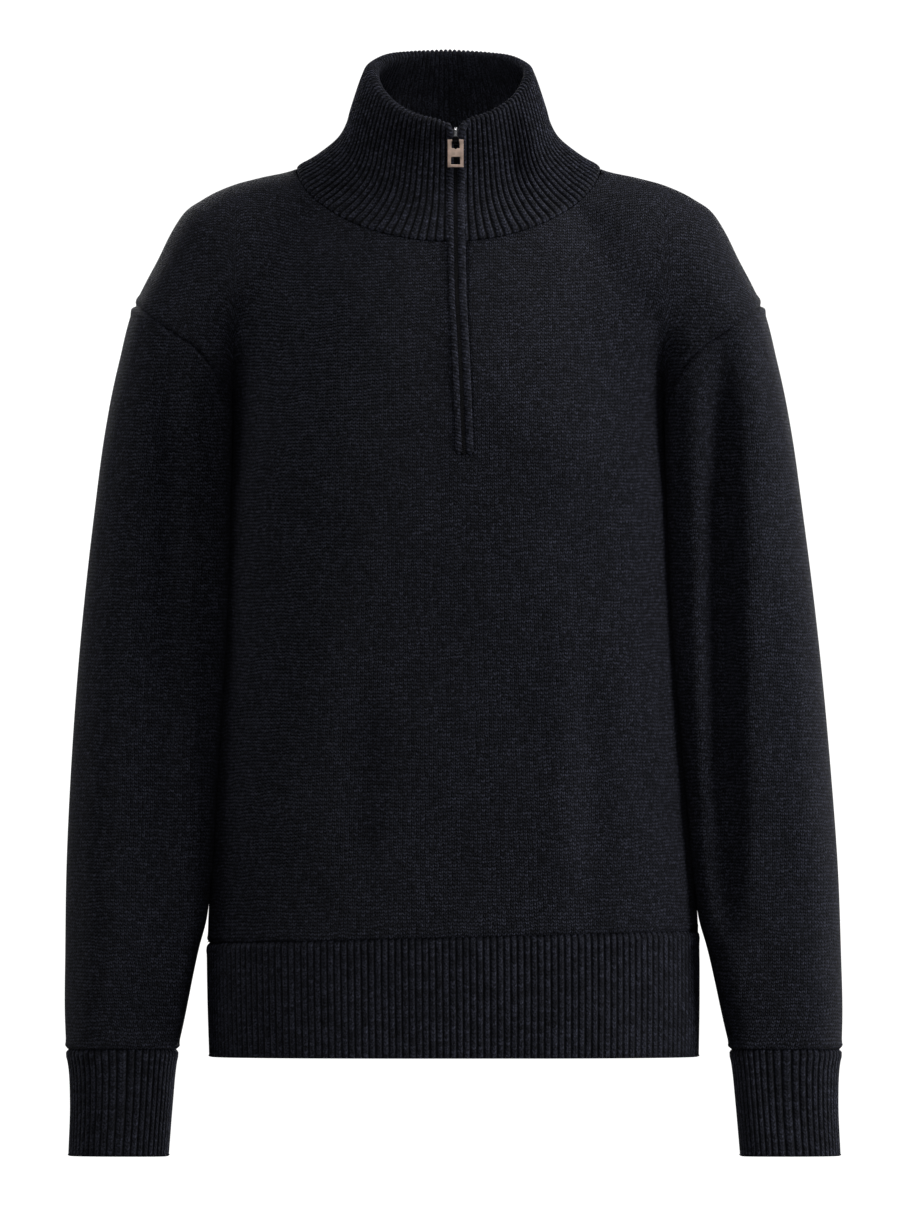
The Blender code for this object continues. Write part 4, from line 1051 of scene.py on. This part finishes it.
def slider_body(name, place, material):
    """The slider's flat body under the strips, with its two lower corners cut off."""
    wide, high = SLIDER_CORNER
    xs = (-SLIDER_HALF, wide - SLIDER_HALF, SLIDER_HALF - wide, SLIDER_HALF)
    zs = (BAIL_FOOT, BAIL_FOOT + high, SLIDER_TOP - high, SLIDER_TOP)
    gone = {(0, 0), (2, 0)}
    return plate(name, xs, zs, gone, SLIDER_BACK, SLIDER_FACE, place, material, SLIDER_BEVEL)


def slider_bail(name, place, material):
    """A flat bar bent to an arch, narrow above and wide where it holds the tab."""
    reach = BAIL_REACH - BAIL_BAR / 2
    low, high = BAIL_FOOT + BAIL_BAR / 2, BAIL_TOP - BAIL_BAR / 2
    turns = np.linspace(0, QUARTER, 7)
    near, far = BAIL_BEND * (1 - np.sin(turns)), BAIL_BEND * (1 - np.cos(turns))
    lower = together(reach - near, low + far)
    front = [(reach, z) for z in np.linspace(low + BAIL_BEND, high - BAIL_BEND, 8)[1:-1]]
    upper = together(reach - far, high - near)
    line = np.array([(BAIL_ROOT, low), *lower, *front, *upper, (BAIL_ROOT, high)])
    along = unit(np.gradient(line, axis=0))
    side = together(-along[:, 1], along[:, 0])
    angles = np.linspace(0, TURN, 17)
    widths = HOOK_HALF + (BAIL_HALF - HOOK_HALF) * smooth_step(line[:, 1], *BAIL_NARROWING)
    thick = BAIL_BAR / 2 * signed_power(np.sin(angles), 0.6)
    spots = np.empty((len(line), len(angles), 3))
    spots[..., 0] = widths[:, None] * signed_power(np.cos(angles), 0.5)
    spots[..., 1:] = line[:, None] + side[:, None] * thick[None, :, None]
    spots[:, -1] = spots[:, 0]
    heights = np.zeros((*spots.shape[:2], 2))
    heights[..., 1] = line[:, 1:]
    return cloth_object(name, place(spots), heights, material, ring=True)


def pull_tab(name, place, material):
    """The plate that hangs in the bail, with two windows, the upper one notched at its foot."""
    foot, top = TAB_TOP - TAB_LENGTH, TAB_TOP - TAB_BAR
    low, sill = foot + TAB_FOOT_BAR, top - UPPER_WINDOW[1]
    halves = np.array([TAB_HALF, LOWER_WINDOW[0], UPPER_WINDOW[0], NOTCH_WIDE])
    xs = (*-halves, *halves[::-1])
    zs = (foot, low, low + LOWER_WINDOW[1], sill - NOTCH_DEEP, sill, top, TAB_TOP)
    gone = {(i, 1) for i in range(1, 6)} | {(i, 4) for i in range(2, 5)} | {(3, 3)}
    return plate(name, xs, zs, gone, TAB_BACK, TAB_FACE, place, material, TAB_BEVEL)


# ---- materials


class Shader:
    """A Principled material, with short ways to add the nodes that drive it."""

    def __init__(self, name):
        self.material = bpy.data.materials.new(name)
        self.material.use_nodes = True
        self.nodes = self.material.node_tree.nodes
        self.links = self.material.node_tree.links
        self.surface = self.nodes["Principled BSDF"]

    def feed(self, socket, value):
        if isinstance(value, bpy.types.NodeSocket):
            self.links.new(value, socket)
        else:
            socket.default_value = value

    def node(self, kind, *values, **settings):
        """A new node with its settings, and with the values in its first sockets."""
        made = self.nodes.new("ShaderNode" + kind)
        for name, value in settings.items():
            setattr(made, name, value)
        for socket, value in zip(made.inputs, values):
            self.feed(socket, value)
        return made

    def math(self, operation, *values, clamp=False):
        return self.node("Math", *values, operation=operation, use_clamp=clamp).outputs[0]

    def plus(self, first, second):
        return self.math("ADD", first, second)

    def minus(self, first, second, clamp=False):
        return self.math("SUBTRACT", first, second, clamp=clamp)

    def times(self, first, second):
        return self.math("MULTIPLY", first, second)

    def blend(self, share, first, second):
        mix = self.node("Mix", share, data_type="RGBA")
        for number, color in ((6, first), (7, second)):
            self.feed(mix.inputs[number], (*color, 1.0) if isinstance(color, tuple) else color)
        return mix.outputs[2]

    def span(self, value, low, high, to_low=0.0, to_high=1.0):
        return self.node("MapRange", value, low, high, to_low, to_high, clamp=True).outputs[0]

    def place(self):
        return self.node("TexCoord").outputs["Object"]

    def stitch(self):
        split = self.node("SeparateXYZ", self.node("UVMap", uv_map="stitch").outputs[0])
        return split.outputs[0], split.outputs[1]

    def noise(self, at, scale, detail=2.0, roughness=0.5):
        made = self.node("TexNoise", at)
        for name, value in (("Scale", scale), ("Detail", detail), ("Roughness", roughness)):
            made.inputs[name].default_value = value
        return made.outputs[0]

    def cell_noise(self, *at):
        """A value from 0 to 1 that is the same all over each whole cell."""
        cell = self.node("CombineXYZ", *(self.math("FLOOR", value) for value in at))
        made = self.node("TexWhiteNoise", cell.outputs[0], noise_dimensions="2D")
        return made.outputs["Value"]

    def from_middle(self, u):
        return self.math("ABSOLUTE", self.minus(self.math("FRACT", u), 0.5))

    def yarn(self, at, power):
        """A rounded rise over each unit of at."""
        turn = self.times(self.math("FRACT", at), math.pi)
        return self.math("POWER", self.math("SINE", turn), power)

    def bump(self, height, depth):
        made = self.node("Bump", 1.0, depth * MM)
        self.feed(made.inputs["Height"], height)
        self.links.new(made.outputs[0], self.surface.inputs["Normal"])

    def nap(self, place, height, fuzz, depth):
        """Relief of the stitches with fine hair over it."""
        hair = self.noise(place, 1500.0, 3.0, 0.65)
        self.bump(self.plus(height, self.times(hair, fuzz)), depth)

    def set(self, **values):
        for name, value in values.items():
            socket = name.replace("_", " ").title().replace("Ior", "IOR")
            self.feed(self.surface.inputs[socket], value)


# The darkest and the lightest colour of each knit: the dark end is painted shade in the hollows of
# the stitches, the light end the yarn's tops.
KNIT_COLORS = (0.0012, 0.0014, 0.0019), (0.0685, 0.0738, 0.110)
STRIP_COLORS = (0.0016, 0.0019, 0.0026), (0.0690, 0.0737, 0.108)


def knit_surface_and_painted_shade(shader, height, cell, colors, sheen):
    """Colour, nap and roughness shared by the knits. The colour is painted shade, darker the lower
    each place of a stitch lies, with tone that differs at random per stitch and in specks, clouds
    and fibres over it.
    """
    place = shader.place()
    fibres = shader.noise(place, 2600.0, 3.0, 0.7)
    # The stitch's height paints shade into the colour, darkest in its hollows; the patterns after
    # it add random tone.
    painted_shade_and_tone = height
    for pattern, low, high, darkest in (
        (shader.cell_noise(*cell), 0.0, 1.0, 0.34),
        (shader.noise(place, 850.0, 1.0), 0.36, 0.66, 0.12),
        (shader.noise(place, 9.0, 3.0), 0.3, 0.7, 0.88),
        (fibres, 0.3, 0.7, 0.75),
    ):
        painted_shade_and_tone = shader.times(painted_shade_and_tone, shader.span(pattern, low, high, darkest))
    shader.set(base_color=shader.blend(painted_shade_and_tone, *colors), sheen_weight=shader.times(painted_shade_and_tone, sheen))
    shader.set(roughness=shader.span(fibres, 0.3, 0.7, 0.7, 0.92), specular_ior_level=0.12)
    shader.set(sheen_roughness=0.45, sheen_tint=(0.68, 0.62, 1.0, 1.0))


def jersey_material(name):
    """Plain knit: in each wale two slanting legs meet in a V, one V above the other."""
    shader = Shader(name)
    u, v = shader.stitch()
    place = shader.place()
    wobble = shader.span(shader.noise(place, 120.0), 0.25, 0.75, -0.2, 0.2)
    drift = shader.span(shader.noise(place, 45.0, 1.0), 0.25, 0.75, -0.45, 0.45)
    u, v = shader.plus(u, wobble), shader.plus(v, drift)
    aside = shader.from_middle(u)
    lean = shader.minus(v, shader.times(aside, 0.9))
    lean = shader.plus(lean, shader.times(wobble, 0.8))
    leg = shader.times(shader.minus(aside, 0.22), 3.6)
    leg = shader.minus(1.0, shader.times(leg, leg), clamp=True)
    height = shader.times(shader.span(leg, 0.0, 1.0, 0.2), shader.yarn(lean, 0.9))
    shader.nap(place, height, 0.25, 1.1)
    knit_surface_and_painted_shade(shader, height, (u, lean), KNIT_COLORS, 0.07)
    return shader.material


def rib_material(name):
    """Rib knit: columns of V stitches on the ridges, with shade painted into the furrows between
    them.
    """
    shader = Shader(name)
    u, v = shader.stitch()
    place = shader.place()
    wobble = shader.span(shader.noise(place, 160.0), 0.0, 1.0, -0.07, 0.07)
    u = shader.plus(u, 0.5)
    aside = shader.plus(shader.from_middle(u), wobble)
    lean = shader.minus(v, shader.times(aside, 1.5))
    ridge = shader.span(aside, 0.22, 0.46, 1.0, 0.0)
    split = shader.span(aside, 0.0, 0.09, 0.6)
    yarn = shader.span(shader.yarn(lean, 0.8), 0.0, 1.0, 0.3)
    height = shader.times(shader.times(ridge, split), yarn)
    clear = shader.node("Attribute", attribute_name="clear").outputs["Fac"]
    # clear scales the stitches' height, so the bump and the painted shade in the furrows are
    # fainter where it is low, as inside the bands.
    height = shader.span(clear, 0.0, 1.0, 0.45, height)
    shader.nap(place, height, 0.25, 0.9)
    knit_surface_and_painted_shade(shader, height, (u, lean), KNIT_COLORS, 0.07)
    return shader.material


def strip_material(name):
    """The tight slanting garter stitches of the rolled strips."""
    shader = Shader(name)
    u, v = shader.stitch()
    slant = shader.plus(v, shader.times(u, 2.0))
    height = shader.yarn(slant, 0.8)
    shader.nap(shader.place(), height, 0.3, 0.7)
    knit_surface_and_painted_shade(shader, height, (slant,), STRIP_COLORS, 0.08)
    return shader.material


def tape_material(name):
    """Fine woven tape."""
    shader = Shader(name)
    u, v = shader.stitch()
    weave = shader.math("SINE", shader.times(v, TURN / 0.8))
    cross = shader.math("SINE", shader.times(u, TURN * 24))
    height = shader.times(weave, cross)
    shader.bump(height, 0.12)
    shade = shader.span(height, -1.0, 1.0)
    shader.set(base_color=shader.blend(shade, (0.002, 0.002, 0.003), (0.006, 0.006, 0.009)))
    shader.set(roughness=0.85, specular_ior_level=0.1)
    return shader.material


def coil_material(name):
    """Near-black nylon with a dull gloss."""
    shader = Shader(name)
    grain = shader.noise(shader.place(), 900.0)
    shader.set(base_color=shader.blend(grain, (0.002, 0.002, 0.003), (0.008, 0.008, 0.011)))
    shader.set(roughness=shader.span(grain, 0.3, 0.7, 0.45, 0.65), specular_ior_level=0.15)
    shader.bump(grain, 0.05)
    return shader.material


def metal_material(name, color, dark, roughness, painted_shade_below=None):
    """Plated metal with fine rubbing marks, duller where it is worn, and painted near black, as
    shade, below a height of the stitch map given as the last argument."""
    shader = Shader(name)
    place = shader.place()
    cloud = shader.noise(place, 260.0, 3.0)
    grain = shader.noise(place, 4000.0)
    plated = shader.blend(shader.span(cloud, 0.35, 0.7), dark, color)
    # Below that height the colour is painted shade: near black, where the bail's lower part hooks
    # over the tab.
    if painted_shade_below is not None:
        bright = shader.span(shader.stitch()[1], painted_shade_below - 0.5, painted_shade_below + 0.5)
        plated = shader.blend(bright, (0.012, 0.011, 0.012), plated)
    dullness = shader.span(cloud, 0.3, 0.7, roughness - 0.05, roughness + 0.08)
    dullness = shader.plus(dullness, shader.times(grain, 0.06))
    shader.set(base_color=plated, metallic=1.0, roughness=dullness)
    shader.bump(shader.plus(cloud, shader.times(grain, 0.2)), 0.04)
    return shader.material


# ---- room, light and camera

FLOOR_Z = -0.80
FLOOR_REACH = 4.0
PAPER_GLOW = 1.1
SKY, SKY_STRENGTH = (0.93, 0.95, 1.0, 1.0), 0.05
WHITE = (1.0, 1.0, 1.0, 1.0)
FRAME_MIDDLE = Vector((0.0037, -0.01, -0.3104))
FRAME_HEIGHT = 0.895
CAMERA_DISTANCE = 20.0
SENSOR = 36.0

# The soft lights stand round the garment: name, degrees round from the front, degrees up, watts.
# They are mostly at its sides, so the knit's relief and the folds show, and stronger on the
# wearer's left. The last two light only the back.
LIGHTS = [
    ("left_behind", -120, -15, 7),
    ("left_low", -85, -15, 8.5),
    ("left_high", -85, 50, 12.5),
    ("front_low", 0, -15, 6),
    ("front_high", 0, 50, 17),
    ("right_low", 66, -15, 44),
    ("right_behind", 120, -15, 15),
    ("right_high", 80, 50, 23),
    ("right_high_behind", 120, 50, 27),
    ("back_left", -160, 25, 30),
    ("back_right", 160, 10, 22),
]
LIGHT_AIM = Vector((0.0, 0.0, -0.3))
LIGHT_DISTANCE = 2.6
LIGHT_SIZE = (1.0, 1.2)


def stage():
    """A pale floor that sheds no light on the garment."""
    shader = Shader("paper")
    shader.set(base_color=(0.9, 0.9, 0.9, 1.0), roughness=0.9)
    shader.set(emission_color=WHITE, emission_strength=PAPER_GLOW)
    reach = FLOOR_REACH / MM
    ground = np.array([[(x, y, FLOOR_Z / MM) for x in (-reach, reach)] for y in (-reach, reach)])
    made = cloth_object("floor", ground, np.zeros((2, 2, 2)), shader.material)
    made.visible_diffuse = made.visible_glossy = made.visible_shadow = False


def area_light(name, turn, rise, power):
    turn, rise = math.radians(turn), math.radians(rise)
    level = math.cos(rise)
    way = Vector((math.sin(turn) * level, -math.cos(turn) * level, math.sin(rise)))
    data = bpy.data.lights.new(name, "AREA")
    data.shape = "RECTANGLE"
    data.size, data.size_y = LIGHT_SIZE
    data.energy = power
    lamp = add_object(name, data)
    lamp.location = LIGHT_AIM + way * LIGHT_DISTANCE
    lamp.rotation_euler = (-way).to_track_quat("-Z", "Y").to_euler()
    lamp.visible_camera = False


def room():
    """A dim sky that looks white to the camera, the floor, the lights, and the camera itself."""
    scene = bpy.context.scene
    scene.world = scene.world or bpy.data.worlds.new("World")
    scene.world.use_nodes = True
    tree = scene.world.node_tree
    sky, paper = tree.nodes["Background"], tree.nodes.new("ShaderNodeBackground")
    for light, color, strength in ((sky, SKY, SKY_STRENGTH), (paper, WHITE, PAPER_GLOW)):
        light.inputs[0].default_value = color
        light.inputs[1].default_value = strength
    seen = tree.nodes.new("ShaderNodeLightPath").outputs["Is Camera Ray"]
    either = tree.nodes.new("ShaderNodeMixShader")
    for number, source in enumerate((seen, sky.outputs[0], paper.outputs[0])):
        tree.links.new(source, either.inputs[number])
    tree.links.new(either.outputs[0], tree.nodes["World Output"].inputs[0])
    stage()
    for light in LIGHTS:
        area_light(*light)
    scene.view_settings.view_transform = "Standard"

    data = bpy.data.cameras.new("front")
    data.sensor_width = SENSOR
    data.lens = SENSOR * CAMERA_DISTANCE / FRAME_HEIGHT
    camera = add_object("front", data)
    camera.location = FRAME_MIDDLE - Vector((0, CAMERA_DISTANCE, 0))
    camera.rotation_euler = (QUARTER, 0, 0)
    scene.camera = camera


# ---- assembly


def dress(made, node, body="sweater"):
    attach(made, body)
    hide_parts(node)


def main():
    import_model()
    jersey, rib = jersey_material("jersey knit"), rib_material("rib knit")
    strip, tape = strip_material("strip knit"), tape_material("zip tape weave")
    coil = coil_material("zip coil nylon")
    gunmetal = metal_material("slider gunmetal", (0.10, 0.10, 0.11), (0.05, 0.05, 0.055), 0.4)
    copper = metal_material("tab copper", (0.80, 0.62, 0.52), (0.58, 0.42, 0.34), 0.40)
    # The lower part of the bail, where it holds the tab, is painted near black as shade.
    silver = metal_material("bail silver", (0.78, 0.78, 0.80), (0.55, 0.55, 0.57), 0.22, -1.3)

    # Each cloth piece with the flat cut of what shows of it: width and length in metres, and the
    # share of that rectangle.
    cloth = [
        ("front_panel", "jersey", body_panel("front_knit", "front", jersey), 0.50, 0.58, 0.86),
        ("back_panel", "jersey", body_panel("back_knit", "back", jersey), 0.48, 0.58, 0.90),
        ("sleeve_left", "jersey", sleeve("sleeve_knit_left", 1, jersey), 0.34, 0.55, 0.85),
        ("sleeve_right", "jersey", sleeve("sleeve_knit_right", -1, jersey), 0.34, 0.55, 0.85),
        ("collar", "rib", collar("collar_knit", rib), 0.48, 0.115, 0.95),
        ("hem_rib_front", "rib", hem_rib("hem_knit_front", "front", rib), 0.47, 0.10, 1.0),
        ("hem_rib_back", "rib", hem_rib("hem_knit_back", "back", rib), 0.47, 0.10, 1.0),
        ("cuff_left", "rib", cuff("cuff_knit_left", 1, rib), 0.22, 0.09, 1.0),
        ("cuff_right", "rib", cuff("cuff_knit_right", -1, rib), 0.22, 0.09, 1.0),
        ("placket_left", "jersey", placket_strip("strip_left", 1, strip), 0.010, 0.28, 0.80),
        ("placket_right", "jersey", placket_strip("strip_right", -1, strip), 0.010, 0.28, 0.65),
        ("zip_tape", "zip_tape", zip_tape("tape_woven", tape), 0.012, 0.25, 1.0),
    ]
    for node, slot, made, width, length, share in cloth:
        dress(made, node)

    place = slider_frame()
    dress(zip_coil("coil_loops", coil), "zip_chain")
    dress(slider_body("slider_plate", place, gunmetal), "zip_slider")
    bail = slider_bail("slider_bail", place, silver)
    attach(bail, "sweater")
    dress(pull_tab("tab_plate", place, copper), "pull_tab", body="pull_tab")

    room()


main()
